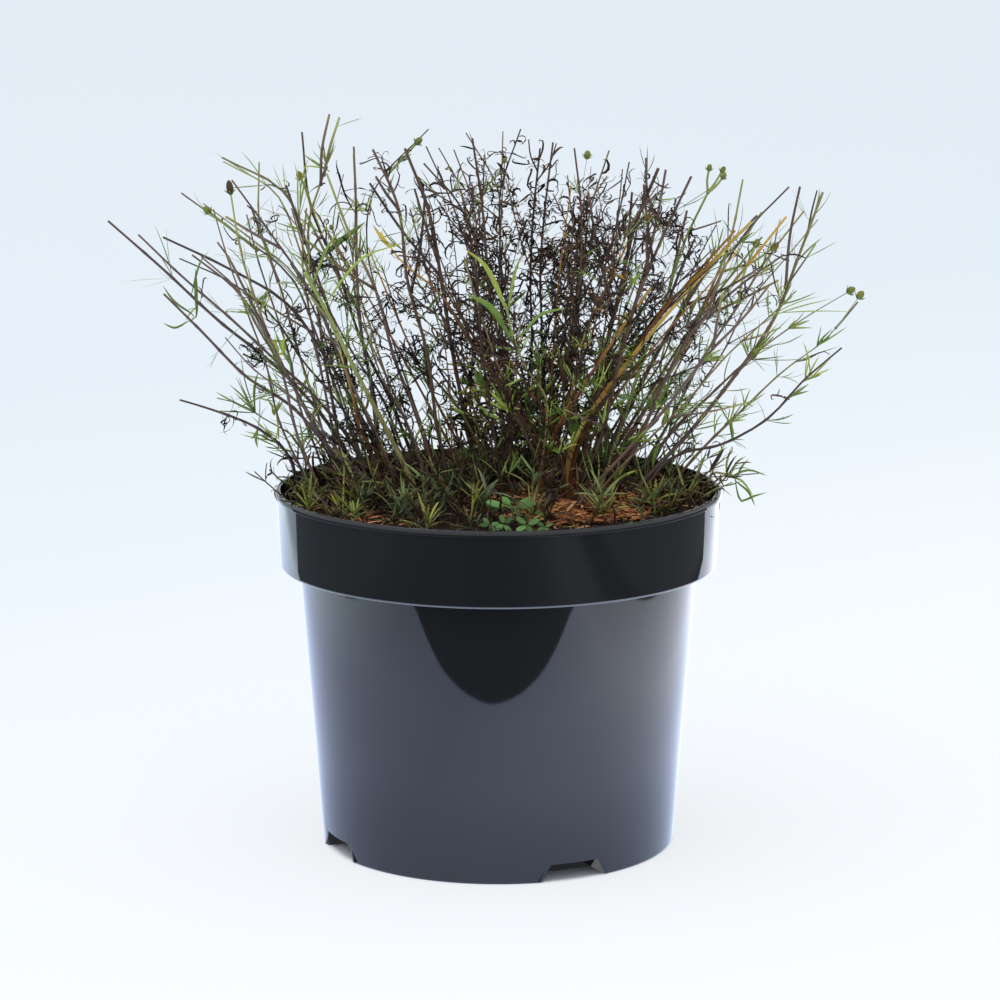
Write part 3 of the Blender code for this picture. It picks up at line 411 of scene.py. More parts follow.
# The yellow stems that stand out in front: width, ages at foot and tip, tone and route
FRONT_STEMS = (
    (2.6, (0.62, 0.08), 1.1, ((29, 6, 158), (33, 6, 173), (43, 5, 190), (66, 2, 221),
                             (85, -4, 244), (98, -8, 260))),
    (2.0, (0.85, 0.62), 1.0, ((31, 9, 158), (36, 9, 173), (46, 8, 190), (66, 4, 223.5),
                              (85, -2, 247), (99, -7, 264))),
    (1.3, (0.9, 0.4), 1.0, ((34, 6, 158), (40, 5, 173), (48, 3, 189), (70, 0, 219),
                            (88, -5, 240), (101, -9, 257))),
    (1.5, (1.5, 0.1), 1.1, ((21, 0, 160), (13, -2, 178), (1, -4, 198), (-14, -6, 220),
                            (-24, -8, 237), (-41, -10, 252), (-49, -12, 264))),
    (1.2, (1.3, 0.8), 1.0, ((22, 1, 160), (15, 0, 178), (3, -2, 199), (-12, -5, 222),
                            (-22, -7, 240), (-33, -9, 252))),
    (1.8, (0.95, 0.6), 0.9, ((28, 4, 158), (23, 2, 180), (13, 0, 195), (6, 0, 207))),
    (2.0, (0.8, 0.6), 1.0, ((19, 2, 158), (24, 0, 177), (30, 0, 189), (32, 0, 200))),
    (1.5, (1.0, 0.2), 1.0, ((-46, 14, 158), (-58, 10, 174), (-62, 5, 192), (-67, 0, 212))),
)

# The ages at foot and tip of the stems whose colour stands out, by the number of the shoot
KNOWN_AGES = {6: (0.8, 0.45), 11: (0.7, 0.35), 13: (0.75, 0.5), 14: (0.42, 0.02),
              33: (0.35, 0.0), 34: (0.7, 0.3), 37: (0.7, 0.35), 38: (0.75, 0.4),
              41: (0.85, 0.6), 42: (0.8, 0.5), 46: (0.5, 0.1)}

# The stems, by number, that are thin below their bud
THIN_TIPS = (27, 43, 44)

# Whorls of fine bright leaves: how far across and how high each is seen
WHORLS = ((123, 230), (127, 202), (107, 212), (101, 180), (71, 195), (77, 190), (47, 185),
          (-92, 218), (-97, 189), (-92, 177), (-88, 263), (-56, 278), (-99, 255), (-74, 293),
          (-104, 232), (112, 250), (92, 252), (86, 178), (-62, 236), (64, 176))
WHORL_LEAVES = 9
WHORL_LENGTH = (7.0, 16.0)
WHORL_FOOT = (20.0, 20.0, 60.0)

# Leaves that stand out: foot, middle and tip, half width, age and tone
ACCENTS = (
    ((-45, -10, 257), (-48, -10, 260), (-52, -10, 266), 0.8, 0.5, 1.2),
    ((-77, -20, 257), (-70, -20, 263), (-57, -20, 273), 1.25, 0.12, 1.0),
    ((-3, -55, 250), (-7, -55, 252), (-11, -55, 256), 0.8, 0.15, 1.2),
    ((4, -55, 246), (8, -55, 250), (13, -55, 254), 0.8, 0.15, 1.2),
    ((10, -34, 224), (17, -34, 232), (28, -34, 235), 0.75, 0.15, 1.2),
    ((1, -46, 184), (11, -46, 189), (20, -46, 193), 1.1, 0.2, 1.2),
    ((11, -46, 205), (16, -46, 197), (20, -46, 192), 0.8, 0.22, 1.2),
    ((19, -47, 193), (21, -47, 191), (23, -47, 188), 1.0, 0.46, 1.3),
    ((8, -50, 187), (12, -50, 184), (16, -50, 181), 0.9, 0.15, 1.1),
    ((-6, -48, 195), (-2, -48, 193), (2, -48, 191), 0.9, 0.2, 1.1),
    ((-9, -40, 203), (-3, -40, 206), (2, -40, 209), 0.8, 0.15, 1.2),
    ((-19, -36, 202), (-14, -36, 202), (-9, -36, 199), 0.9, 0.38, 1.2),
    ((31, -46, 185), (30, -46, 193), (27, -46, 198), 0.8, 0.1, 1.4),
    ((32, -46, 185), (34, -46, 193), (34, -46, 200), 0.7, 0.1, 1.4),
    ((48, -30, 186), (46, -30, 190), (45, -30, 194), 0.8, 0.36, 1.2),
    ((72, -8, 195), (69, -8, 197), (66, -8, 201), 1.4, 0.48, 1.2),
    ((72, -14, 184), (74, -14, 189), (75, -14, 193), 1.1, 0.38, 1.2),
    ((75, -16, 186), (79, -16, 189), (82, -16, 194), 1.0, 0.3, 1.2),
    ((66, -30, 168), (67, -30, 174), (69, -30, 179), 1.0, 0.2, 1.1),
    ((-96, 0, 185), (-96, 0, 188), (-98, 0, 191), 1.0, 0.36, 1.2),
    ((-96, 0, 185), (-94, 0, 188), (-93, 0, 191), 0.9, 0.34, 1.2),
    ((-93, 10, 210), (-95, 10, 213), (-97, 10, 216), 1.1, 0.36, 1.2),
    ((-91, 10, 209), (-91, 10, 213), (-90, 10, 216), 1.0, 0.34, 1.2),
    ((31, 10, 194), (36, 10, 201), (38, 10, 208), 0.8, 0.3, 1.2),
    ((56, -10, 242), (57, -10, 246), (55, -10, 250), 0.9, 0.3, 1.2),
    ((57, -10, 243), (59, -10, 246), (61, -10, 248), 0.8, 0.3, 1.2),
    ((97, -2, 158), (97, -2, 164), (99, -2, 171), 0.5, 0.15, 1.5),
    ((101, -6, 158), (103, -7, 163), (106, -8, 167), 0.5, 0.1, 1.5),
    ((99, -4, 159), (106, -6, 160), (113, -8, 161), 0.25, 0.8, 0.9),
    ((101, -6, 157), (106, -8, 153), (109, -10, 147), 0.5, 0.05, 1.4),
    ((103, -8, 149), (108, -9, 151), (114, -10, 153), 0.5, 0.1, 1.1),
    ((-127, 8, 225), (-127, 8, 233), (-127, 8, 245), 0.75, 0.05, 1.0),
    ((-128, 8, 225), (-136, 8, 231), (-141, 8, 238), 0.5, 0.1, 1.0),
    ((-130, 8, 223), (-136, 8, 220), (-141, 8, 222), 0.5, 0.1, 1.0),
    ((92, -3, 151), (94, -6, 148), (93, -8, 141), 0.35, 0.9, 0.8),
    ((90, 0, 160), (93, 0, 165), (96, 0, 170), 0.9, 0.9, 0.9),
)

# The crumpled scraps of dead leaf that cling to the stems of the middle
CORE_MIDDLE = 15.0
CORE_HALF_WIDTH = 36.0
SCRAPS_PER_MM = 0.36
SCRAP_LENGTH = (4.0, 12.0)
SCRAP_HALF = (0.35, 0.95)
SCRAP_SPREAD = (15, 150)
SCRAP_TURN = (60, 300)
SCRAP_FLAT = 0.22

# Half widths of the leaf threads
LIVE_HALF = (0.24, 0.5)
WIDE_CHANCE = 0.2
WIDE = 1.9
DEAD_HALF = (0.32, 0.62)
LEAF_FLAT = 0.35

# Ages from nought, fresh, to one, dead and black
FRESH_AGES = (0.05, 0.34)
TURNED_AGES = (0.42, 0.66)
DEAD_AGES = (0.78, 1.0)
TURNED_CHANCE = 0.06

# Where the plants are dead: a wide fan over the middle, whose measures are those at its top, and
# a dark patch low on the left
DEAD_MIDDLE = 15.0
DEAD_HALF_WIDTH = 46.0
DEAD_EDGE = 34.0
FAN_FOOT = 60.0
FAN_TOP = 280.0
DARK_PATCH = (-44.0, 192.0)
DARK_PATCH_RADIUS = 30.0

# The ragged tufts of dead leaves: place, how far they reach, their number of threads, their
# age and tone
TUFTS = (
    (23, 42, 246, 9.0, 190, 0.8, 1.25), (30, 40, 236, 8.0, 70, 0.84, 1.0),
    (18, 42, 264, 8.0, 50, 0.84, 1.0), (73, 0, 265, 7.0, 90, 0.84, 1.0),
    (80, -6, 257, 6.0, 40, 0.86, 0.9), (67, -6, 271, 5.0, 30, 0.84, 1.0),
    (-103, 8, 208, 4.5, 22, 1.0, 0.7), (-112, -3, 184, 4.0, 16, 1.0, 0.7),
    (44, 40, 228, 8.0, 60, 0.86, 0.9), (81, 10, 218, 8.0, 60, 0.84, 0.95),
    (92, 0, 230, 7.0, 45, 0.9, 0.9), (60, 30, 240, 8.0, 40, 0.86, 0.9),
    (-35, 30, 210, 9.0, 50, 1.0, 0.6), (-43, 20, 187, 9.0, 60, 1.0, 0.6),
    (-50, 30, 219, 8.0, 40, 0.96, 0.7), (-75, 20, 246, 6.0, 40, 0.88, 0.9),
    (-66, 20, 231, 7.0, 36, 0.86, 0.95), (-10, 20, 214, 9.0, 50, 0.94, 0.7),
    (26, 40, 209, 9.0, 50, 0.94, 0.7), (0, 30, 232, 9.0, 60, 0.86, 0.9),
    (10, 20, 222, 9.0, 60, 0.86, 0.8), (38, 30, 250, 8.0, 60, 0.84, 1.0),
    (-24, 10, 240, 7.0, 40, 0.84, 0.9), (-70, 10, 252, 9.0, 46, 0.9, 0.8),
    (-84, 16, 226, 9.0, 40, 0.84, 1.0), (-100, 20, 262, 7.0, 26, 0.9, 0.8),
    (-62, 20, 198, 10.0, 50, 0.92, 0.8), (-70, 16, 214, 8.0, 30, 0.82, 1.0),
    (60, 10, 212, 9.0, 40, 0.9, 0.8), (66, 14, 236, 8.0, 40, 0.84, 1.0),
    (104, 0, 236, 7.0, 24, 0.84, 1.0), (78, 6, 196, 9.0, 36, 0.92, 0.8),
    (-65, 12, 201, 8.0, 50, 1.0, 0.6), (-72, 14, 212, 7.0, 40, 0.9, 0.8),
    (-41, 10, 232, 8.0, 50, 1.0, 0.6), (-35, 14, 248, 7.0, 50, 0.86, 1.0),
    (-63, 14, 180, 8.0, 50, 1.0, 0.6), (-52, 16, 171, 8.0, 50, 1.0, 0.6),
    (-70, 20, 165, 8.0, 40, 1.0, 0.6), (-36, 10, 211, 8.0, 50, 1.0, 0.6),
    (-85, 16, 212, 5.0, 30, 0.9, 0.8), (-103, 4, 210, 5.0, 26, 1.0, 0.6),
    (-45, 12, 198, 8.0, 50, 1.0, 0.6), (82, 8, 219, 7.0, 36, 0.88, 0.9),
    (87, 8, 206, 7.0, 30, 0.9, 0.8), (66, 10, 232, 8.0, 46, 0.86, 1.0),
    (60, 14, 214, 8.0, 46, 0.9, 0.8),
)
TUFT_LENGTH = (5.0, 13.0)
TUFT_THIN = 0.62
TUFT_HALF = (0.25, 0.65)

# How far the fine plants' random draws are from those of the plan
(FINE_DRAWS, TUFT_DRAWS, SPRIG_DRAWS, LUMP_DRAWS, BARK_DRAWS, LITTER_DRAWS,
 THATCH_DRAWS, INNER_DRAWS, SEEDLING_DRAWS) = range(1000, 1801, 100)

# The longest step in the fine pot's outline, and how far a point beyond each arc is from it
PROFILE_GAP = 16.0
HOLD = 0.12

# The fine compost: the cell and height of each size of its random lumps, and what lies on it
CRUMBS = ((11.0, 0.9), (5.0, 0.7), (2.4, 0.5), (1.2, 0.35))
SOIL_GRID = (84, 200)
CRUMB_COUNT = 1500
BARK_PATCHES = (((31.0, -4.0), (38.0, 50.0)), ((-49.0, -42.0), (20.0, 18.0)), ((0, 0), (84, 84)))
OPEN_MIDDLE = (33.0, -2.0)
OPEN_REACH = (36.0, 50.0)
OPEN_SHARE = 0.12
BARK_SHARES = (0.76, 0.1, 0.14)
CRUMB_HALF = (0.35, 1.5)
SPLINTER_COUNT = 620
CHUNK_COUNT = 110
LITTER_COUNT = 700
BARK_LIFT = 0.6
SPRIG_COUNT = 110
DEAD_SPRIG = 0.4
SPRIG_PATCH = (80.0, 78.0)
SPRIG_LEAVES = (5, 10)
SPRIG_LENGTH = (7.0, 15.0)
SPRIG_HALF = (0.5, 1.0)
BRIGHT_SPRIGS = ((-65, -36), (-60, -44), (-80, -14), (-84, 4), (-56, -18), (-12, -42),
                 (-40, -34), (45, -30), (66, -22), (80, -6), (-30, -66))
THATCH_COUNT = 180
THATCH_LENGTH = (10.0, 36.0)
THATCH_GAP = 7.5
THATCH_ALIVE = 0.16
CROWN = (12.0, 26.0)

# The stage: the floor, and the white sheet that only the gloss shows, a glowing card that paints
# the pot's reflections, each with its corners and its shades from left to right, then the camera
# and the lamp
FLOOR_CORNERS = ((-9000, -4000), (9000, -4000), (9000, 12000), (-9000, 12000))
SHEET_CORNERS = ((-370, -266), (-255, -277), (-157, -268), (-19, -264), (126, -280),
                 (230, -298), (370, -290), (450, 290), (452, 352), (490, 396), (1600, 1300),
                 (1600, 9000), (-1600, 9000), (-1600, 1300), (-570, 372), (-460, 290))
SHEET_DROP = -0.3
PAINTED_REFLECTION_SHADES = ((0.0, "8b98a2"), (0.06, "b2c2cd"), (0.2, "9ca6be"), (0.4, "919cb6"),
                (0.53, "9ca9c3"), (0.63, "aab5cf"), (0.71, "bac3da"), (0.78, "cbd2e3"),
                (0.86, "c6ccda"), (1.0, "a8afb8"))
# The painted reflection of a dark room round the sheet, a dark glowing card, from left to right
PAINTED_DARK_REFLECTION_SHADES = ((0.0, "70767c"), (0.05, "5c6066"), (0.15, "4a4e54"), (0.3, "40444a"),
               (0.42, "34363c"), (0.55, "3c3e44"), (0.68, "5c5e62"), (0.8, "909498"),
               (0.87, "8a8e92"), (0.91, "4c5056"), (0.96, "4c5056"), (1.0, "7a7c82"))
# The radius of a dark disc under the foot, a painted shade under the pot in its reflections
FOOT_DISC_RADIUS = 74.0
# Near the pot the glow of a sheet is dimmed, a painted shade of the pot: from and up to which
# distance, and to what share
NEAR_SHEET_PAINTED_SHADE = (75.0, 170.0, 0.72)
# Towards the front it changes too: the most that the distance counts, and from where to where
EDGE_SHEET = (370.0, 360.0, 490.0)
# How far to each side the shades of a sheet reach
GLOW_REACH = 500.0
# The floor's shades, darker and bluer further off and to the left, a painted fall-off of the light,
# and the share of it that glows, painted light that keeps its shadows faint
FLOOR_PAINTED_FALLOFF = ((0.0, "f9fbfd"), (0.2, "f4f8fb"), (0.34, "eaf2f8"), (0.5, "e5eef6"),
                (1.0, "e7eff7"))
FLOOR_GLOW = 0.78
CAMERA_AIM = (0.7223, 0.0, 147.69)
CAMERA_DISTANCE = 1634.8
CAMERA_ELEVATION = 11.2473
LAMP_PLACE = (-500.0, -500.0, 2600.0)
LAMP_SIZE = 3000.0


def unit(vector):
    """The vector divided by its length."""
    return np.asarray(vector, float) / np.linalg.norm(vector)


def angle(draw, degrees):
    """A random angle between two that are given in degrees."""
    return math.radians(draw.uniform(*degrees))


def smooth_route(points, count):
    """A smooth curve through the points, as count points evenly along it."""
    return smooth_at(points, np.linspace(0, marks_along(np.asarray(points, float))[-1], count))


def smooth_at(points, at):
    """The places on a smooth curve through the points, at lengths along the straight path
    through them: a cubic piece between each two, whose slope at a point is the slope between
    its two neighbours."""
    points = np.asarray(points, float)
    knots = marks_along(points)
    slopes = np.empty_like(points)
    slopes[1:-1] = (points[2:] - points[:-2]) / (knots[2:] - knots[:-2])[:, None]
    slopes[0] = (points[1] - points[0]) / knots[1]
    slopes[-1] = (points[-1] - points[-2]) / (knots[-1] - knots[-2])
    low = np.clip(np.searchsorted(knots, at, side="right") - 1, 0, len(points) - 2)
    span = (knots[low + 1] - knots[low])[:, None]
    s = (at - knots[low])[:, None] / span
    return ((1 + 2 * s) * (1 - s) ** 2 * points[low] + s * (1 - s) ** 2 * span * slopes[low]
            + s * s * (3 - 2 * s) * points[low + 1] + s * s * (s - 1) * span * slopes[low + 1])


def soil_height(x, y):
    """The compost's surface: a low mound with shallow waves on it, four to nine centimetres
    from crest to crest."""
    mound = SOIL_MOUND * (1 - (x * x + y * y) / SOIL_RADIUS ** 2)
    waves = (np.sin(x / 9.0 + 1.0) * np.cos(y / 11.0) + 0.7 * np.sin((x + 1.7 * y) / 7.0)
             + 0.6 * np.cos((2.1 * x - y) / 13.0))
    return SOIL_EDGE + mound + SOIL_WAVE * waves


def least_gaps(starts, ends, other_starts, other_ends):
    """The least distance between each straight piece of one list and each of another: the
    nearest points of two lines, kept within the pieces."""
    d1 = (ends - starts)[:, None, :]
    d2 = (other_ends - other_starts)[None, :, :]
    r = starts[:, None, :] - other_starts[None, :, :]
    a = (d1 * d1).sum(-1)
    e = (d2 * d2).sum(-1)
    b = (d1 * d2).sum(-1)
    c = (d1 * r).sum(-1)
    f = (d2 * r).sum(-1)
    s = np.clip((b * f - c * e) / np.maximum(a * e - b * b, 1e-9), 0, 1)
    t = np.clip((b * s + f) / e, 0, 1)
    s = np.clip((b * t - c) / a, 0, 1)
    apart = r + s[..., None] * d1 - t[..., None] * d2
    return np.sqrt((apart * apart).sum(-1))


class Thicket:
    """Every limb that has grown so far, to tell whether a new one has room."""

    def __init__(self):
        self.starts = np.empty((0, 3))
        self.ends = np.empty((0, 3))
        self.radii = np.empty(0)
        self.owners = np.empty(0, int)

    def add(self, limb, owner):
        self.starts = np.vstack([self.starts, limb.route[:-1]])
        self.ends = np.vstack([self.ends, limb.route[1:]])
        self.radii = np.append(self.radii, np.maximum(limb.radii[:-1], limb.radii[1:]))
        self.owners = np.append(self.owners, np.full(len(limb.route) - 1, owner))

    def has_room(self, limb, owner, rooted=False):
        """Whether the limb clears the pot, the compost and every other limb. Its first piece
        may meet limbs of its own plant, because it is rooted in one of them, and all of a
        seedling's round leaf may, which is wide from its stalk on."""
        if not clears_pot(limb, rooted):
            return False
        radii = np.maximum(limb.radii[:-1], limb.radii[1:])
        near = ((np.maximum(self.starts, self.ends) > limb.route.min(0) - NEAR).all(1)
                & (np.minimum(self.starts, self.ends) < limb.route.max(0) + NEAR).all(1))
        if not near.any():
            return True
        gaps = least_gaps(limb.route[:-1], limb.route[1:], self.starts[near], self.ends[near])
        gaps -= radii[:, None] + self.radii[near][None, :]
        own = self.owners[near] == owner
        gaps[:1 if limb.sort != "pad" else None, own] = CLEARANCE
        return bool(gaps.min() >= CLEARANCE)

    def grow(self, tries, owner, make, rooted=False):
        """A list of the first limb that has room of those that make gives, or an empty one."""
        for attempt in range(tries):
            limb = make(attempt)
            if self.has_room(limb, owner, rooted):
                self.add(limb, owner)
                return [limb]
        return []


def leaning(along, out, spread):
    """The direction that leans from one towards another, square to it, by an angle."""
    return math.cos(spread) * along + math.sin(spread) * out


def clears_pot(limb, rooted):
    """Whether the limb stays above the compost and off the rim. A rooted limb's first piece
    goes down its hole."""
    route = limb.route[1:] if rooted else limb.route
    steps = np.linspace(0, 1, 6)[:, None, None]
    points = (route[:-1] + steps * (route[1:] - route[:-1])).reshape(-1, 3)
    width = limb.radii.max()
    out = np.hypot(points[:, 0], points[:, 1])
    low = points[:, 2] < POT_HEIGHT + width + CLEARANCE
    inside = out < SOIL_RADIUS - width - CLEARANCE
    outside = out > LIP_RADIUS + width + CLEARANCE
    above = points[:, 2] > soil_height(points[:, 0], points[:, 1]) + width + SOIL_CLEARANCE
    return bool((above | outside).all() and (~low | inside | outside).all())


def stem_limb(shoot, shift, bends):
    """The shoot's main stem: straight up its hole, then smoothly through its route, narrowing
    towards its cut tip. The shift moves its points, the tip the most, and the bends
    set its joints a little off the smooth route."""
    base = np.array([*(shoot.base + BASE_SHARE * shift[:2]), 0.0])
    base[2] = soil_height(base[0], base[1])
    route = np.array(shoot.route, float)
    route += np.linspace(0.5, 1.0, len(route))[:, None] * shift
    lean = unit(unit(route[0] - base) + (0, 0, STEM_UPRIGHT))
    foot = base - lean * ROOT_DEPTH
    rise = base + lean * ROOT_RISE
    above = smooth_route([rise, *route], STEM_PIECES)
    above[1:-1] += bends
    points = np.vstack([foot, above])
    radii = shoot.width / 2 * STEM_GIRTH * np.linspace(1.0, STEM_TAPER, len(points))
    side = unit(np.cross(unit(points[-1] - points[0]), (0.0, 1.0, 0.0)))
    return Limb("stem", points, radii, side)


def marks_along(points):
    """The length of the path through the points up to each of them."""
    return np.concatenate([[0], np.cumsum(np.linalg.norm(np.diff(points, axis=0), axis=1))])


def point_at(limb, length):
    """The place and direction of the limb at a length from its start."""
    marks = marks_along(limb.route)
    i = int(np.clip(np.searchsorted(marks, length, side="right") - 1, 0, len(marks) - 2))
    along = unit(limb.route[i + 1] - limb.route[i])
    return limb.route[i] + along * (length - marks[i]), along


def length_of(limb):
    """The length of the limb's route, the sum of its pieces."""
    return marks_along(limb.route)[-1]


def length_at_height(limb, height):
    """The length along the limb where it passes the height."""
    return float(np.interp(height, limb.route[:, 2], marks_along(limb.route)))


def outward(along, turn):
    """A direction square to along, turned round it by an angle."""
    first = unit(np.cross(along, SKEW))
    return leaning(first, np.cross(along, first), turn)


def rooted_stem(thicket, owner, shoot, draw, sway, bends):
    """A list of the shoot's stem, bent clear of those before it by the least of its random
    shifts that gives it room."""
    stems = thicket.grow(
        STEM_TRIES, owner,
        lambda attempt: stem_limb(shoot, draw.normal(0, 1, 3) * sway * attempt, bends), True)
    if not stems:
        raise ValueError(f"plant {owner} finds no room")
    return stems


def side_limb(sort, start, along, turn, spread, length, bend, width, flat=1.0):
    """A twig or leaf that leaves its stem at a spread angle and bends by an angle towards the
    stem's tip as it grows, or away from it where the bend is negative."""
    out = outward(along, turn)
    angles = spread - bend * np.array((0.25, 0.75))
    steps = np.cos(angles)[:, None] * along + np.sin(angles)[:, None] * out
    route = start + np.vstack([np.zeros(3), np.cumsum(steps * length / 2, axis=0)])
    return Limb(sort, route, width / 2 * np.array(SWELL[sort]), np.cross(along, out), flat)


def grow_stems(thicket):
    """Each shoot's main stem, the first limb of its plant."""
    plants = []
    for index, shoot in enumerate(SHOOTS):
        draw = np.random.default_rng(SEED + index)
        bends = draw.normal(0, JOINT_BEND, (STEM_PIECES - 2, 3))
        plants.append(rooted_stem(thicket, index, shoot, draw, STEM_SHIFT, bends))
    return plants


def grow_forks(thicket, plants):
    """The forks that the table names: each leaves its stem at a height and bows a little on
    its way to its own tip."""
    for index, (shoot, limbs) in enumerate(zip(SHOOTS, plants)):
        draw = np.random.default_rng(SEED + FORK_DRAWS + index)
        for height, tip, end in shoot.forks:

            def fork(attempt):
                place = length_at_height(limbs[0], height - FORK_DROP * attempt)
                start, along = point_at(limbs[0], place)
                reach = np.array(tip, float) + draw.normal(0, TIP_SHIFT * attempt, 3)
                span = reach - start
                bow = FORK_BOW * np.linalg.norm(span) * unit(unit(span) - along)
                return Limb("twig", np.array([start, (start + reach) / 2 + bow, reach]),
                            TWIG_WIDTH / 2 * np.array(SWELL["twig"]),
                            unit(np.cross(span, (0.0, 1.0, 0.2))))

            twigs = thicket.grow(STEM_TRIES, index, fork)
            limbs += twigs + [bud(twig, BUD_RADIUS) for twig in twigs if end == "bud"]


def grow_twigs(thicket, plants):
    """The thin side twigs, which leave the stem in its upper half and reach nearly as high as
    its tip."""
    for index, (shoot, limbs) in enumerate(zip(SHOOTS, plants)):
        draw = np.random.default_rng(SEED + TWIG_DRAWS + index)

        def twig(_):
            place = length_of(limbs[0]) * draw.uniform(*TWIG_PLACE)
            start, along = point_at(limbs[0], place)
            length = draw.uniform(*TWIG_REACH) * (limbs[0].route[-1][2] - start[2])
            return side_limb("twig", start, along, draw.uniform(0, 2 * math.pi),
                             angle(draw, TWIG_SPREAD), length, angle(draw, TWIG_BEND),
                             TWIG_WIDTH)

        for _ in range(shoot.twigs):
            limbs += thicket.grow(STEM_TRIES, index, twig)


def bud(limb, radius, stretch=1.0):
    """A flower bud or seed head at the end of a stem: a small egg along it."""
    along = unit(limb.route[-1] - limb.route[-2])
    route = limb.route[-1] + along * radius * stretch * np.array(BUD_STATIONS)[:, None]
    return Limb("bud", route, radius * np.array(BUD_SWELL), unit(np.cross(along, SKEW)))


def grow_tips(thicket, plants):
    """What the stems end in: a bud, a seed head, or a small spray of buds on short stalks."""
    for index, (shoot, limbs) in enumerate(zip(SHOOTS, plants)):
        if shoot.tip in BUD_STRETCH:
            limbs.append(bud(limbs[0], BUD_RADIUS, BUD_STRETCH[shoot.tip]))
        if shoot.tip == "spray":
            top = limbs[0].route[-1]
            along = unit(top - limbs[0].route[-2])
            for turn in SPRAY_TURNS:
                stalk = side_limb("twig", top - 2 * along, along, turn, SPRAY_SPREAD,
                                  SPRAY_STALK, SPRAY_BEND, SPRAY_WIDTH)
                limbs += [stalk, bud(stalk, SPRAY_BUD_RADIUS)]
        for limb in limbs[1:]:
            if limb.sort == "bud":
                thicket.add(limb, index)


def grow_broad_leaves(thicket, plants):
    """The broad leaves that the table names, each a thin arched blade."""
    for index, height, tip, _ in BROAD_LEAVES:
        draw = np.random.default_rng(SEED + BROAD_DRAWS + index)
        stem = plants[index][0]
        start, _ = point_at(stem, length_at_height(stem, height))

        def blade(attempt):
            reach = np.array(tip, float) + draw.normal(0, TIP_SHIFT * attempt, 3)
            span = reach - start
            middle = (start + reach) / 2 + (0, 0, BROAD_ARCH * np.linalg.norm(span))
            return Limb("broad", np.array([start, middle, reach]), np.array(BROAD_HALF_WIDTHS),
                        unit(np.cross(span, UP)), BROAD_FLAT)

        plants[index] += thicket.grow(STEM_TRIES, index, blade)


def leaf_limb(draw, start, along, turn, alive, size=1.0):
    """One leaf of a pair: a green thread that reaches up, or a dead one that is curled."""
    sort = "thread" if alive else "curl"
    spread, length, bend = LEAF_SORTS[sort]
    return side_limb(sort, start, along, turn, angle(draw, spread),
                     size * draw.uniform(*length), angle(draw, bend), LEAF_WIDTH)


def slack(attempt):
    """How far, in radians, a leaf may turn from its own place, which grows with each try."""
    return LEAF_TURN_SLACK[0] + LEAF_TURN_SLACK[1] * attempt


def grow_leaves(thicket, plants):
    """The leaves in pairs up each stem, each pair square to the one below it."""
    for index, (shoot, limbs) in enumerate(zip(SHOOTS, plants)):
        draw = np.random.default_rng(SEED + LEAF_DRAWS + index)
        room = length_of(limbs[0]) - ROOT_DEPTH - FIRST_PAIR - BARE_TIP
        first = draw.uniform(0, 2 * math.pi)
        for pair in range(shoot.pairs):
            share = (pair + 0.5) / shoot.pairs
            place = ROOT_DEPTH + FIRST_PAIR + room * share + draw.uniform(*PAIR_JITTER)
            start, along = point_at(limbs[0], place)
            for half in range(2):
                turn = first + pair * math.pi / 2 + half * math.pi
                limbs += thicket.grow(LEAF_TRIES, index, lambda attempt: leaf_limb(
                    draw, start, along, turn + draw.normal(0, slack(attempt)),
                    shoot.kind != "dry"))


def grow_sprouts(thicket):
    """Each basal sprout: a short stem with narrow leaves that spread like a star."""
    sprouts = []
    for number, (place, height, leaves) in enumerate(SPROUTS):
        owner = len(SHOOTS) + number
        draw = np.random.default_rng(SEED + SPROUT_DRAWS + number)
        tip = (place[0] + draw.uniform(*SPROUT_LEAN), place[1] + draw.uniform(*SPROUT_LEAN),
               soil_height(*place) + height)
        shoot = Shoot("sprout", SPROUT_WIDTH, place, (tip,))
        limbs = rooted_stem(thicket, owner, shoot, draw, SPROUT_SHIFT, 0.0)
        whole = length_of(limbs[0])
        for leaf in range(leaves):
            share = SPROUT_LOWEST + (SPROUT_HIGHEST - SPROUT_LOWEST) * leaf / leaves
            start, along = point_at(limbs[0], whole * share)
            limbs += thicket.grow(SPROUT_LEAF_TRIES, owner, lambda attempt: side_limb(
                "blade", start, along, leaf * SPROUT_TURN + draw.normal(0, slack(attempt)),
                angle(draw, SPROUT_SPREAD), SPROUT_LEAF * draw.uniform(*SPROUT_LEAF_SHARE),
                angle(draw, SPROUT_BEND), SPROUT_LEAF_WIDTH, SPROUT_LEAF_FLAT))
        sprouts.append(limbs)
    return sprouts


def grow_seedling(thicket):
    """A small weed seedling by the front of the rim, with rounded leaves on short stalks."""
    owner = len(SHOOTS) + len(SPROUTS)
    tip = (*SEEDLING, soil_height(*SEEDLING) + SEEDLING_HEIGHT)
    stem = stem_limb(Shoot("seedling", SEEDLING_WIDTH, SEEDLING, (tip,)), np.zeros(3), 0.0)
    thicket.add(stem, owner)
    limbs = [stem]
    for number in range(SEEDLING_LEAVES):
        stalk = side_limb("twig", stem.route[-2], np.array(UP),
                          SEEDLING_FIRST_TURN + SEEDLING_TURN * number, SEEDLING_SPREAD,
                          STALK_LENGTH, SEEDLING_BEND, STALK_WIDTH)
        out = unit(stalk.route[-1] - stalk.route[0])
        pad = Limb("pad", stalk.route[-1] + out * np.array(PAD_STATIONS)[:, None],
                   np.array(PAD_HALF_WIDTHS), unit(np.cross(out, UP)), PAD_FLAT)
        if thicket.has_room(pad, owner):
            limbs += [stalk, pad]
            thicket.add(stalk, owner)
            thicket.add(pad, owner)
    return limbs


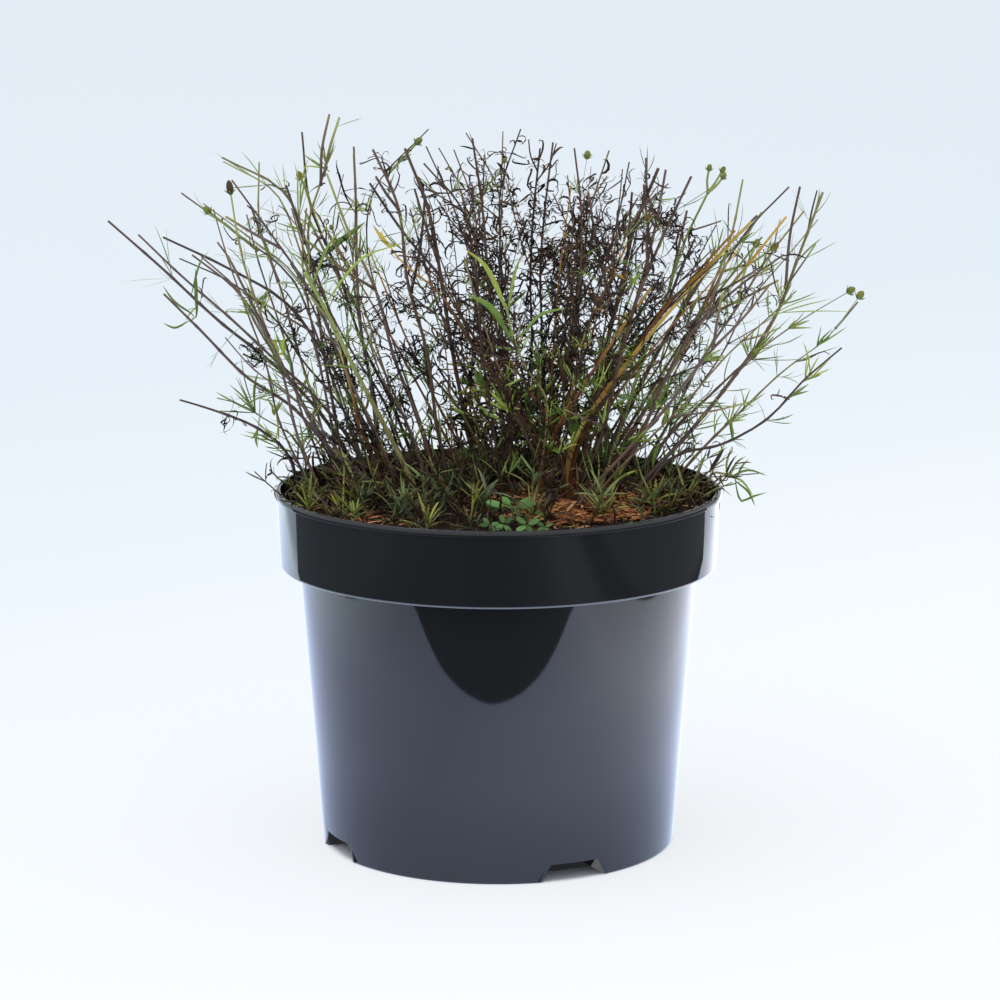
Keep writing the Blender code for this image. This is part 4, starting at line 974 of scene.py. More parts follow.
def grow_all():
    """Every plant with its name, its kind and its limbs."""
    thicket = Thicket()
    plants = grow_stems(thicket)
    seedling_limbs = grow_seedling(thicket)
    sprout_limbs = grow_sprouts(thicket)
    for grow in (grow_forks, grow_twigs, grow_tips, grow_broad_leaves, grow_leaves):
        grow(thicket, plants)
    counts = {}
    grown = []
    for shoot, limbs in zip(SHOOTS, plants):
        counts[shoot.kind] = counts.get(shoot.kind, 0) + 1
        grown.append((f"{shoot.kind}_stem_{counts[shoot.kind]:02d}", shoot.kind, limbs))
    for number, limbs in enumerate(sprout_limbs):
        grown.append((f"basal_sprout_{number + 1:02d}", "sprout", limbs))
    return [*grown, ("weed_seedling", "seedling", seedling_limbs)]


def notch_shape(turn, grow):
    """A block with sloping sides at the foot, as large as a notch and its walls. What grows
    stays inside the pot's wall, and what cuts reaches out through it."""
    inner = FOOT_RADIUS - NOTCH_DEPTH - grow
    outer = FOOT_RADIUS - WALL / 2 if grow else FOOT_RADIUS + CUT_REACH
    floor = WALL / 2 if grow else -CUT_DROP
    roof = NOTCH_HEIGHT + grow
    slope = (NOTCH_HALF_WIDTH - NOTCH_ROOF_HALF_WIDTH) / NOTCH_HEIGHT
    foot_half = NOTCH_HALF_WIDTH + grow - slope * floor
    roof_half = NOTCH_HALF_WIDTH + grow - slope * roof
    local = [(r, side * half, z) for r in (inner, outer) for z, half in
             ((floor, foot_half), (roof, roof_half)) for side in (-1, 1)]
    return turned_block(local, turn)


def drain_shape(turn):
    """A slot through the notch's roof, close to its back."""
    inner = FOOT_RADIUS - NOTCH_DEPTH + WALL
    local = [(r, y, z) for r in (inner, inner + DRAIN_DEPTH)
             for z in (NOTCH_HEIGHT - WALL, NOTCH_HEIGHT + 2 * WALL)
             for y in (-DRAIN_WIDTH / 2, DRAIN_WIDTH / 2)]
    return turned_block(local, turn)


def turned_block(local, turn):
    """A block from eight corners, listed with y fastest, then z, then x, turned about z."""
    faces = [(0, 2, 3, 1), (4, 5, 7, 6), (0, 1, 5, 4), (2, 6, 7, 3), (0, 4, 6, 2), (1, 3, 7, 5)]
    return turned_about_z(local, turn), faces


# The finishes of a stem's piece
STEM, LEAF, BUD, STRAW = range(4)


class Strand(NamedTuple):
    """One fine length of a plant: its path, its half widths, the direction it is widest in, how
    thin it is across that, how far it twists, its age at foot and tip, its tone from black to
    pale, and which of its piece's finishes it has."""

    sort: str
    path: np.ndarray
    radii: np.ndarray
    side: np.ndarray
    flat: float
    twist: float
    ages: tuple
    tone: float
    finish: int = LEAF


def tube_faces(rings, corners):
    """The faces of a tube: of four corners from ring to ring, and of three to the poles that
    close its ends, whose points come after the rings'."""
    here = np.arange(corners)
    there = (here + 1) % corners
    rows = np.arange(rings - 1)[:, None] * corners
    quads = np.stack([rows + here, rows + there, rows + there + corners,
                      rows + here + corners], axis=-1).reshape(-1, 4)
    last = (rings - 1) * corners
    foot = np.full(corners, rings * corners)
    tris = np.concatenate([np.stack([foot, there, here], axis=1),
                           np.stack([foot + 1, last + here, last + there], axis=1)])
    return quads, tris


class Surface(NamedTuple):
    """Points, faces of four and of three corners, the finish of each face, and the age, tone and
    share of its strand's length at each point."""

    points: np.ndarray
    quads: np.ndarray
    tris: np.ndarray
    quad_finish: np.ndarray
    tri_finish: np.ndarray
    values: np.ndarray


def sweep(strands, corners):
    """The closed tubes round strands that have as many stations each. A ring at station s is
    path(s) + r(s) * (cos(a) * across + flat * sin(a) * third), where across is the strand's side
    vector made square to its path and turned by the twist's share there, third is square to both,
    and a goes round once. A pole closes each end."""
    path = np.stack([strand.path for strand in strands])
    radii = np.stack([strand.radii for strand in strands])
    side = np.stack([strand.side for strand in strands])[:, None, :]
    flat = np.array([strand.flat for strand in strands])[:, None, None, None]
    twist = np.array([strand.twist for strand in strands])[:, None]
    count, stations = radii.shape
    share = np.linspace(0, 1, stations)
    along = np.gradient(path, axis=1)
    along /= np.maximum(np.linalg.norm(along, axis=-1, keepdims=True), 1e-9)
    across = side - (along * side).sum(-1, keepdims=True) * along
    across /= np.maximum(np.linalg.norm(across, axis=-1, keepdims=True), 1e-9)
    third = np.cross(along, across)
    turn = (twist * share)[..., None]
    across, third = (np.cos(turn) * across + np.sin(turn) * third,
                     np.cos(turn) * third - np.sin(turn) * across)
    angles = np.arange(corners) * 2 * math.pi / corners
    ring = (np.cos(angles)[:, None] * across[:, :, None, :]
            + flat * np.sin(angles)[:, None] * third[:, :, None, :])
    rings = path[:, :, None, :] + radii[:, :, None, None] * ring
    points = np.concatenate([rings.reshape(count, -1, 3), path[:, :1], path[:, -1:]], axis=1)
    size = points.shape[1]
    quads, tris = tube_faces(stations, corners)
    offsets = np.arange(count)[:, None, None] * size
    shares = np.concatenate([np.repeat(share, corners), (0.0, 1.0)])
    ages = np.array([strand.ages for strand in strands])
    values = np.stack([ages[:, :1] + (ages[:, 1:] - ages[:, :1]) * shares ** 2,
                       np.repeat([[strand.tone] for strand in strands], size, axis=1),
                       np.repeat(shares[None, :], count, axis=0)], axis=-1)
    finish = np.array([strand.finish for strand in strands])
    return Surface(points.reshape(-1, 3), (quads + offsets).reshape(-1, 4),
                   (tris + offsets).reshape(-1, 3), np.repeat(finish, len(quads)),
                   np.repeat(finish, len(tris)), values.reshape(-1, 3))


def joined(surfaces):
    """Several surfaces as one, with their faces counted on from one another's points."""
    starts = np.cumsum([0] + [len(surface.points) for surface in surfaces[:-1]])
    moved = [surface._replace(quads=surface.quads + start, tris=surface.tris + start)
             for surface, start in zip(surfaces, starts)]
    return Surface(*map(np.concatenate, zip(*moved)))


def turned_about_z(points, turn):
    """The points turned about the z axis."""
    x, y, z = np.moveaxis(np.asarray(points), -1, 0)
    return np.stack([x * np.cos(turn) - y * np.sin(turn), x * np.sin(turn) + y * np.cos(turn),
                     z], axis=-1)


def surface_of(strands):
    """The surfaces of all the strands, those with as many stations and corners swept at once."""
    groups = {}
    for strand in strands:
        groups.setdefault((len(strand.path), FINENESS[strand.sort][1]), []).append(strand)
    return joined([sweep(group, key[1]) for key, group in sorted(groups.items())])


def lumps(centres, sizes, turns, ages, tones):
    """Small rough stones: an icosahedron at each centre, stretched by its three half sizes and
    turned about z. Its twelve corners are the plus and minus pairs (0, 1, g), (1, g, 0) and
    (g, 0, 1), with g the golden ratio, at random depths."""
    golden = (1 + math.sqrt(5)) / 2
    corners = np.array([np.roll((0, a, b * golden), shift) for shift in range(3)
                        for a in (-1, 1) for b in (-1, 1)], float)
    corners /= np.linalg.norm(corners[0])
    apart = np.linalg.norm(corners[:, None] - corners[None], axis=-1)
    near = (apart > 0) & (apart < 1.1)
    faces = np.array([(i, j, k) for i, j, k in itertools.combinations(range(12), 3)
                      if near[i, j] and near[j, k] and near[i, k]])
    a, b, c = corners[faces].swapaxes(0, 1)
    inward = (np.cross(b - a, c - a) * a).sum(1) < 0
    faces[inward] = faces[inward][:, ::-1]
    count = len(centres)
    draw = np.random.default_rng(SEED + LUMP_DRAWS)
    local = corners * draw.uniform(0.75, 1.15, (count, 12, 1)) * sizes[:, None, :]
    points = turned_about_z(local, turns[:, None]) + centres[:, None, :]
    tris = (faces + np.arange(count)[:, None, None] * 12).reshape(-1, 3)
    values = np.stack([np.repeat(ages, 12), np.repeat(tones, 12), np.zeros(12 * count)], axis=-1)
    return Surface(points.reshape(-1, 3), np.empty((0, 4), int), tris, np.empty(0, int),
                   np.zeros(len(tris), int), values)


def revolved(profile, sides):
    """The surface turned round the z axis from a closed profile of (radius, height): the point
    at angle a is (r cos(a), r sin(a), z). The profile starts and ends on the axis, and a pole
    closes it at each end."""
    profile = np.asarray(profile, float)
    angles = np.arange(sides) * 2 * math.pi / sides
    rings = np.stack([profile[1:-1, 0, None] * np.cos(angles),
                      profile[1:-1, 0, None] * np.sin(angles),
                      np.repeat(profile[1:-1, 1, None], sides, axis=1)], axis=-1)
    points = np.vstack([rings.reshape(-1, 3), (0, 0, profile[0, 1]), (0, 0, profile[-1, 1])])
    quads, tris = tube_faces(len(rings), sides)
    return Surface(points, quads, tris, np.zeros(len(quads), int), np.zeros(len(tris), int),
                   np.zeros((len(points), 3)))


def linked(name, data):
    """A new object of the scene for a mesh, lamp or camera."""
    obj = bpy.data.objects.new(name, data)
    bpy.context.scene.collection.objects.link(obj)
    return obj


def mesh_object(name, surface, materials, smooth=True):
    """A mesh object from a surface in millimetres, with its values as point attributes. Where
    it has one material, that is the finish of every face."""
    mesh = bpy.data.meshes.new(name)
    mesh.vertices.add(len(surface.points))
    mesh.vertices.foreach_set("co", (surface.points * MM).ravel())
    corners = np.concatenate([surface.quads.ravel(), surface.tris.ravel()])
    sizes = np.repeat((4, 3), (len(surface.quads), len(surface.tris)))
    mesh.loops.add(len(corners))
    mesh.loops.foreach_set("vertex_index", corners)
    mesh.polygons.add(len(sizes))
    mesh.polygons.foreach_set("loop_start", np.cumsum(sizes) - sizes)
    finish = np.concatenate([surface.quad_finish, surface.tri_finish])
    mesh.polygons.foreach_set("material_index", np.minimum(finish, len(materials) - 1))
    mesh.polygons.foreach_set("use_smooth", np.full(len(sizes), smooth))
    for number, value in enumerate(("age", "tone", "along")):
        attribute = mesh.attributes.new(value, "FLOAT", "POINT")
        attribute.data.foreach_set("value", surface.values[:, number].astype(np.float32))
    for material in materials:
        mesh.materials.append(material)
    mesh.update(calc_edges=True)
    mesh.validate()
    return linked(name, mesh)


def settle(obj, slot, *nodes):
    """Lets the piece ride on the part's one body and stand for the named solids, which it hides.
    Its slot is not used."""
    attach(obj, "root")
    if nodes:
        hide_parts(*nodes)


def value_noise(x, y, cell, seed):
    """Smooth random heights from -1 to 1: draws on a square grid of cells, and between them the
    four nearest draws weighed by the smooth step 3t^2 - 2t^3 of the place in the cell."""
    grid = np.random.default_rng(SEED + seed).uniform(-1, 1, (64, 64))
    i, j = np.floor(x / cell).astype(int), np.floor(y / cell).astype(int)
    u, v = x / cell - i, y / cell - j
    u, v = u * u * (3 - 2 * u), v * v * (3 - 2 * v)
    near = grid[i % 64, j % 64] * (1 - u) + grid[(i + 1) % 64, j % 64] * u
    far = grid[i % 64, (j + 1) % 64] * (1 - u) + grid[(i + 1) % 64, (j + 1) % 64] * u
    return near * (1 - v) + far * v


def crumbly_height(x, y):
    """The compost's surface with its crumbs: the mound and waves of the solid, and four sizes of
    random lumps on them, each less high than the one before it."""
    lumpy = sum(height * value_noise(x, y, cell, 700 + number)
                for number, (cell, height) in enumerate(CRUMBS))
    return soil_height(x, y) + lumpy


def thread_half_widths(half, stations):
    """The half widths along a leaf thread at its shares s: half as wide at its foot, full from
    s = 0.3, and drawn to a point by (1 - 0.98 s^4)^0.8."""
    share = np.linspace(0, 1, stations)
    return half * np.minimum(1.0, 0.5 + 1.6 * share) * (1 - 0.98 * share ** 4) ** 0.8


def round_half_widths(half, stations):
    """The half widths along a round leaf: those of a circle, but a little more at its ends."""
    share = np.linspace(0, 1, stations)
    return half * np.sqrt(np.maximum(1 - (2 * share - 1) ** 2, 0.03))


def curled(start, along, toward, length, bend, stations=FINENESS["thread"][0]):
    """A path of a length that leaves start in the direction along and turns towards the other
    direction by a bend, the faster the nearer its tip: its direction is at the bend times
    s^1.6, and its points are the running sum of the steps."""
    share = (np.arange(stations - 1) + 0.5) / (stations - 1)
    turn = (bend * share ** 1.6)[:, None]
    steps = np.cos(turn) * along + np.sin(turn) * toward
    path = np.vstack([np.zeros(3), np.cumsum(steps, axis=0)])
    return start + path * length / (stations - 1)


def thread(path, half, side, twist, ages, tone, sort="thread", flat=LEAF_FLAT):
    """A leaf thread along a path, drawn to a point."""
    return Strand(sort, path, thread_half_widths(half, len(path)), side, flat, twist, ages, tone)


def any_side(draw, along):
    """A random direction square to another."""
    return unit(np.cross(along, draw.normal(0, 1, 3)))


def side_share(place):
    """Nought over the dead middle, and one at both sides."""
    reach = (place[2] - FAN_FOOT) / (FAN_TOP - FAN_FOOT)
    return min(max((abs(place[0] - DEAD_MIDDLE) / reach - DEAD_HALF_WIDTH) / DEAD_EDGE, 0), 1)


def core_share(place):
    """How thick the tangle of the middle is at a place: a bell across it, thinner near the
    top and near the compost."""
    across = math.exp(-((place[0] - CORE_MIDDLE) / CORE_HALF_WIDTH) ** 2)
    return across * np.interp(place[2], (170, 200, 262, 290), (0.45, 1.0, 1.0, 0.3))


def patch_share(place):
    """One in the middle of the dark patch, and falling off round it like a bell."""
    x, _, z = place
    return math.exp(-((x - DARK_PATCH[0]) ** 2 + (z - DARK_PATCH[1]) ** 2)
                    / DARK_PATCH_RADIUS ** 2)


def lush_share(place):
    """Nought high up and at the sides, and one low down in the middle, where the leaves that
    live are broader and paler."""
    return min(max((215 - place[2]) / 30, 0), 1) * (1 - side_share(place))


def living_share(place):
    """How many of the leaves at a place live: few over the dead middle and in the dark patch,
    most at both sides, and more of them low down, short of the compost."""
    low = np.interp(place[2], (162, 184, 190, 222), (0.3, 1.0, 1.0, 0.0))
    share = 0.09 + 0.62 * side_share(place) + 0.4 * low - 0.7 * patch_share(place)
    return min(max(share, 0.02), 0.9)


def tone_at(place, draw, alive=False):
    """How pale a part is at a place: the living are all alike, and the dead are brown near the
    tips, and darker low down and in the dark patch."""
    if alive:
        return draw.uniform(0.9, 1.35)
    high = min(max((place[2] - 180) / 75, 0), 1)
    pale = 0.74 + 0.22 * max(0.5 * high, side_share(place))
    return pale * (1 - 0.45 * patch_share(place)) * draw.uniform(0.5, 1.4)


def leaf_strands(draw, route, side, alive):
    """A leaf as its threads: one along the route, and mostly one to each side of it that leaves
    it near its foot. Living threads are nearly straight, and dead ones curl at random."""
    whole = marks_along(route)[-1]
    tone = tone_at(route[0], draw, alive)
    if alive:
        young = draw.uniform(*FRESH_AGES)
        ages = (young, young + draw.uniform(0.02, 0.14))
        lush = lush_share(route[0])
        half = draw.uniform(*LIVE_HALF)
        half *= np.interp(route[0][2], (190, 240), (1.1, 0.7)) * (1 + 0.8 * lush)
        tone *= 1 + 0.3 * lush
        half *= WIDE if draw.random() < WIDE_CHANCE else 1.0
    else:
        turned = draw.random() < TURNED_CHANCE
        ages = (draw.uniform(*(TURNED_AGES if turned else DEAD_AGES)),) * 2
        half = draw.uniform(*DEAD_HALF)
    sort = "thread" if alive else "curl"
    stations = FINENESS[sort][0]
    path = smooth_route(route, stations if alive else stations // 2 + 1)
    if not alive:
        along = unit(path[-1] - path[-2])
        hook = curled(path[-1], along, any_side(draw, along), whole * HOOK_SHARE,
                      angle(draw, DEAD_TURN), stations - len(path) + 1)
        path = np.vstack([path, hook[1:]])
    twist = draw.uniform(-1.5, 1.5) * (1 if alive else 2)
    strands = [thread(path, half, side, twist, ages, tone, sort)]
    if draw.random() > np.interp(side_share(route[0]), (0, 1), LOBED):
        return strands
    across = unit(side)
    for sign in (-1, 1):
        number = int(draw.uniform(*LOBE_START) * (stations - 1) * (1.0 if alive else 1.6))
        length = whole * draw.uniform(*(LOBE_LENGTH if alive else DEAD_LOBE_LENGTH))
        along = unit(path[number + 1] - path[number])
        spread = angle(draw, LOBE_SPREAD if alive else DEAD_LOBE_SPREAD)
        out = unit(across - (across @ along) * along + draw.normal(0, 0.25, 3)) * sign
        along = leaning(along, out, spread)
        lobe = curled(path[number], along, any_side(draw, along), length,
                      angle(draw, LIVE_TURN if alive else DEAD_TURN), stations)
        strands.append(thread(lobe, half * draw.uniform(0.75, 1.0), across,
                              draw.uniform(-2, 2), ages, tone, sort))
    return strands


def girth_at(place):
    """How wide a fine stem is beside its solid: less at the sides than in the middle."""
    return np.interp(side_share(place), (1, 0), FINE_GIRTH)


def stem_strand(limb, joints, ages, tone):
    """A stem's fine tube: round, swollen at each joint by a bell, and cut off square."""
    marks = marks_along(limb.route)
    whole = marks[-1]
    even = np.linspace(0, whole - CUT_BEVEL, int(whole / STEM_STATION))
    near_joints = np.add.outer(joints, (-JOINT_LENGTH, 0, JOINT_LENGTH)).ravel()
    at = np.concatenate([even, near_joints, [whole - CUT_BEVEL, whole]])
    at = np.unique(np.clip(at, 0, whole).round(2))
    radii = np.interp(at, marks, limb.radii) / STEM_GIRTH * girth_at(limb.route[-1])
    radii *= 1 - SIDE_TAPER * side_share(limb.route[-1]) * at / whole
    nearest = np.abs(at[:, None] - joints[None, :]).min(1)
    radii = radii * (1 + JOINT_SWELL * np.exp(-(nearest / JOINT_LENGTH) ** 2))
    radii[-1] *= 0.8
    return Strand("stem", smooth_at(limb.route, at), radii, limb.side, 1.0, 0.0, ages, tone,
                  STEM)


def bud_strands(limb, draw):
    """A bud with a collar of bracts round its foot: a small egg, whose half width at a share s
    goes with the root of 1 - (2s - 0.9)^2 / 1.25."""
    radius = 0.85 * limb.radii.max()
    share = np.linspace(0, 1, FINENESS["bud"][0])
    swell = 0.85 * radius * np.sqrt(np.maximum(1 - (2 * share - 0.9) ** 2 / 1.25, 0.02))
    path = smooth_route(limb.route, len(share))
    path = path[0] + (path - path[0]) * BUD_LENGTH
    age = draw.uniform(0.0, 0.5)
    old = 0.8 if length_of(limb) > 4 * radius else 0.0
    strands = [Strand("bud", path, swell, limb.side, 1.0, 0.0, (age + old, age + old + 0.3), 1.0,
                      BUD)]
    along = unit(path[-1] - path[0])
    for turn in np.arange(7) * 2 * math.pi / 7:
        out = outward(along, turn)
        bract = curled(path[1] + 0.6 * radius * out, unit(0.9 * out + 0.5 * along), along,
                       radius * 1.1, 0.9)
        strands.append(thread(bract, radius * 0.26, np.cross(along, out), 0.0, (age, age), 1.0))
    return strands


def blade_strand(limb, draw):
    """The fine blade of a seedling's round leaf, or of a broad or sprout leaf, which is widest
    in the middle and drawn to a point: its half width at a share s is sin(pi s^0.85)^0.8."""
    is_round = limb.sort == "pad"
    sort = "pad" if is_round else "blade"
    path = smooth_route(limb.route, FINENESS[sort][0])
    if limb.sort == "broad":
        widest = min(BROAD_LEAVES, key=lambda row: np.linalg.norm(limb.route[-1] - row[2]))[3]
    else:
        widest = limb.radii.max() * FINE_WIDTHS[sort]
    age = draw.uniform(0.1, 0.36)
    side = limb.side
    if is_round:
        half = round_half_widths(widest, len(path))
        side = np.cross(unit(path[-1] - path[0]), PAD_FACE)
    else:
        share = np.linspace(0, 1, len(path))
        half = widest * np.maximum(np.sin(math.pi * share ** 0.85), 0.0) ** 0.8
        half = np.maximum(half, widest * np.array([0.3] + [0.02] * (len(path) - 1)))
    if limb.sort == "broad":
        side = np.cross(unit(path[-1] - path[0]), (draw.uniform(-0.5, 0.5), 1.0, 0.0))
    return Strand(sort, path, half, side, 0.16 if is_round else 0.3, 0.0, (age, age + 0.08),
                  draw.uniform(1.0, 1.5))


def twig_strands(limb, draw, leafy=True, bears_bud=False):
    """A twig's fine tube, green where it bears a bud, and the small leaves at its joints."""
    stations = FINENESS["branch"][0]
    path = smooth_route(limb.route, stations)
    share = np.linspace(0, 1, stations)
    radii = girth_at(path[0]) * np.interp(share, np.linspace(0, 1, len(limb.radii)), limb.radii)
    radii[0] *= 1.3
    place = path[stations // 2]
    alive = bears_bud or draw.random() < living_share(place)
    ages = (0.3, 0.1) if bears_bud else stem_ages(draw, place, alive)
    strands = [Strand("branch", path, radii, limb.side, 1.0, 0.0, ages,
                      tone_at(place, draw, alive), STEM)]
    whole = length_of(limb)
    if not leafy or whole < 8:
        return strands
    strands += scrap_strands(draw, limb)
    first = draw.uniform(0, 2 * math.pi)
    for number, share in enumerate(np.arange(draw.uniform(0.25, 0.45), 0.9, 13.0 / whole)):
        start, along = point_at(limb, whole * share)
        strands += new_leaves(draw, start, along, first + number * math.pi / 2, 2, 0.8)
    return strands


def leafiness(place):
    """How many of the joints at a place bear leaves: all over the middle, and fewer at the
    sides, where there are fewer still near the compost and high up."""
    share = LEAFY_SIDES * np.interp(place[2], (165, 190, 235, 270), (0.8, 1.0, 1.0, 0.7))
    return 1 - side_share(place) * (1 - share)


def opened(route):
    """A living leaf's route where the plan has a dead, curled one: drawn out longer, and
    straightened by a share towards the line from its foot to its tip."""
    span = (route[-1] - route[0]) * 1.4
    straight = route[0] + np.array((0.0, 0.5, 1.0))[:, None] * span
    return route * OPENED + straight * (1 - OPENED)


def stem_ages(draw, place, alive):
    """The age of a stem at its foot and tip: green only where it lives, and brown below."""
    if alive:
        return draw.uniform(0.5, 0.85), draw.uniform(0.05, 0.55)
    if draw.random() < side_share(place):
        return draw.uniform(0.66, 0.8), draw.uniform(0.6, 0.78)
    return draw.uniform(0.86, 1.0), draw.uniform(0.78, 0.96)


def in_box(points):
    """Whether the points are inside the solids' box."""
    return bool((points > np.array(cad_low) / MM).all() and (points < np.array(cad_high) / MM).all())


def fits(limb, rooted=False):
    """Whether the limb keeps off the pot and the compost, and inside the solids' box."""
    return clears_pot(limb, rooted) and in_box(limb.route)


def new_leaves(draw, start, along, turn, count, size):
    """New leaves round a joint, if it bears any, each at the first of a few places that fit."""
    strands = []
    for number in range(count if draw.random() < leafiness(start) else 0):
        alive = draw.random() < living_share(start)
        for _ in range(NEW_LEAF_TRIES):
            turned = turn + number * 2 * math.pi / count + draw.normal(0, 0.3)
            leaf = leaf_limb(draw, start, along, turned, alive, size)
            if fits(leaf):
                strands += leaf_strands(draw, leaf.route, leaf.side, alive)
                break
    return strands


def smooth_point(route, length):
    """The place on a smooth curve through the route, at one length along it."""
    return smooth_at(route, np.array([length]))[0]


def dressed_stem(draw, stem, kind, leaves=()):
    """A stem's tube with all that grows from its joints: the solid's own leaves, moved onto the
    smooth stem, and new pairs of leaves and side twigs at the joints between them."""
    whole = length_of(stem)
    own = [length_nearest(stem, leaf.route[0]) for leaf in leaves]
    joints = filled_marks(sorted(set(np.round(own, 1))), ROOT_DEPTH + FIRST_JOINT, whole - 6,
                          JOINT_GAP, draw)
    place = stem.route[-1]
    alive = kind in ("green", "straw") or draw.random() < 0.5 * living_share(place)
    tube = stem_strand(stem, joints, stem_ages(draw, place, alive),
                       tone_at(place, draw, alive))
    strands = [tube._replace(radii=tube.radii * draw.uniform(*GIRTH_CHANGE))]
    for leaf, length in zip(leaves, own):
        shift = smooth_point(stem.route, length) - leaf.route[0]
        route = leaf.route + shift * np.array((1.0, 0.25, 0.0))[:, None]
        alive = draw.random() < living_share(route[0])
        strands += leaf_strands(draw, opened(route) if alive and leaf.sort == "curl" else route,
                                leaf.side, alive)
    strands += scrap_strands(draw, stem)
    first = draw.uniform(0, 2 * math.pi)
    for number, length in enumerate(joints):
        if length > whole - BARE_LENGTH or any(abs(length - mark) < 1.0 for mark in own):
            continue
        start = smooth_point(stem.route, length)
        _, along = point_at(stem, length)
        turn = first + number * math.pi / 2
        side = side_share(start)
        strands += new_leaves(draw, start, along, turn,
                              4 if draw.random() < WHORL_CHANCE * side else 2,
                              1 + (SIDE_LEAF - 1) * side)
        chance = np.interp(core_share(start), (0, 1), SIDE_TWIG_CHANCE)
        shortest, longest = SIDE_TWIG_LENGTH
        room = min(longest, 1.05 * (stem.route[-1][2] - start[2]))
        if length > 0.35 * whole and draw.random() < chance and room > shortest:
            twig = side_limb("twig", start, along, turn + draw.normal(0, 0.4),
                             angle(draw, SIDE_TWIG_SPREAD), draw.uniform(shortest, room),
                             angle(draw, SIDE_TWIG_BEND), draw.uniform(*SIDE_TWIG_WIDTH))
            if fits(twig):
                strands += twig_strands(twig, draw)
                if draw.random() < SIDE_BUD_CHANCE:
                    strands += bud_strands(bud(twig, SIDE_BUD_RADIUS), draw)
    return strands


def scrap_strands(draw, limb):
    """The crumpled scraps of dead leaf along a limb, the more of them the nearer it is to the
    middle of the tangle."""
    strands = []
    first = 26.0 if limb.sort == "stem" else 3.0
    for length in np.arange(first, length_of(limb) - 4, 1 / SCRAPS_PER_MM):
        start, along = point_at(limb, length + draw.uniform(-1, 1))
        if draw.random() > core_share(start):
            continue
        spread = angle(draw, SCRAP_SPREAD)
        along = leaning(along, outward(along, draw.uniform(0, 2 * math.pi)), spread)
        toward = any_side(draw, along)
        path = curled(start, along, toward, draw.uniform(*SCRAP_LENGTH), angle(draw, SCRAP_TURN))
        age = draw.uniform(0.7, 0.98)
        strands.append(thread(path, draw.uniform(*SCRAP_HALF), toward, draw.uniform(-4, 4),
                              (age, age), tone_at(start, draw), flat=SCRAP_FLAT))
    return strands


def fitting(make):
    """A list of the first of a few drawn stems that fits by the rim and in the box, or an
    empty one."""
    for _ in range(COMPANION_TRIES):
        stem = make()
        if fits(stem, True):
            return [stem]
    return []


def length_nearest(limb, point):
    """The length along the limb at its nearest place to a point."""
    starts, spans = limb.route[:-1], np.diff(limb.route, axis=0)
    lengths = np.linalg.norm(spans, axis=1)
    share = np.clip(((point - starts) * spans).sum(1) / lengths ** 2, 0, 1)
    gaps = np.linalg.norm(starts + share[:, None] * spans - point, axis=1)
    nearest = int(gaps.argmin())
    return marks_along(limb.route)[nearest] + share[nearest] * lengths[nearest]


def filled_marks(marks, low, high, gap, draw):
    """The marks with more between them, so that no two are further apart than the gap, and none
    is nearer to another than half of it."""
    known = [low] + [mark for mark in marks if low < mark < high] + [high]
    full = []
    for start, end in zip(known[:-1], known[1:]):
        count = max(int(np.ceil((end - start) / gap)), 1)
        full += [start + (end - start) * number / count for number in range(count)]
    full = np.array(full)
    return full + draw.uniform(-1, 1, len(full)) * ~np.isin(full, known)


def companion(draw, stem, stray):
    """A thinner stem that rises beside the main one and is cut off lower. The stray says how
    far it leans away."""
    away = np.append(unit(draw.normal(0, 1, 2)), 0.0)
    share = np.linspace(0, 1, len(stem.route))[:, None]
    route = stem.route + away * (COMPANION_OUT + stray * draw.uniform(*COMPANION_REACH) * share)
    route[2:-1] += stray * draw.normal(0, 1.2, (len(route) - 3, 3))
    cut = draw.uniform(*COMPANION_CUT)
    route = smooth_at(route, np.linspace(0, marks_along(route)[-1] * cut, len(route)))
    radii = draw.uniform(*COMPANION_WIDTH) / 2 * STEM_GIRTH * np.linspace(1, 0.75, len(route))
    return Limb("stem", route, radii, stem.side)


def inner_stem(draw):
    """A thin stem from the crown that leans its own way across the others, bowed by half a
    sine, and is cut off inside the dome."""
    base = np.array((*(CROWN + INNER_CROWN * draw.normal(0, 0.5, 2)), 0.0))
    base[2] = soil_height(base[0], base[1])
    along = unit((draw.uniform(*INNER_LEAN), draw.uniform(*INNER_DEPTH), 1.0))
    share = np.linspace(0, 1, STEM_PIECES + 2)[:, None]
    bow = unit(draw.normal(0, 1, 3)) * draw.uniform(*INNER_BOW)
    route = (base - along * ROOT_DEPTH + share * along * draw.uniform(*INNER_LENGTH)
             + np.sin(math.pi * share) * bow)
    radii = draw.uniform(*INNER_WIDTH) / 2 * STEM_GIRTH * np.linspace(1, 0.6, len(route))
    return Limb("stem", route, radii, unit(np.cross(along, (0.0, 1.0, 0.0))))


def inner_strands(count):
    """Every strand of the thin stems inside the dome."""
    draw = np.random.default_rng(SEED + INNER_DRAWS)
    strands = []
    for _ in range(count):
        for stem in fitting(lambda: inner_stem(draw)):
            alive = draw.random() < INNER_GREEN
            tube, *others = dressed_stem(draw, stem, "green" if alive else "dry")
            if draw.random() < INNER_STRAW:
                tube = tube._replace(finish=STRAW, ages=(0.85, 0.5), tone=1.1)
            strands += [tube, *others]
    return strands


def front_stem_strands():
    """The yellow stems that stand out in front of the others, from the compost up."""
    stations = FINENESS["front"][0]
    strands = []
    for width, ages, tone, route in FRONT_STEMS:
        foot = np.array((*route[0][:2], soil_height(*route[0][:2]) - ROOT_DEPTH))
        radii = width / 2 * np.linspace(1, 0.7, stations)
        strands.append(Strand("front", smooth_route([foot, *route], stations), radii,
                              np.array((1.0, 0.0, 0.3)), 0.7, 1.5, ages, tone, STRAW))
    return strands


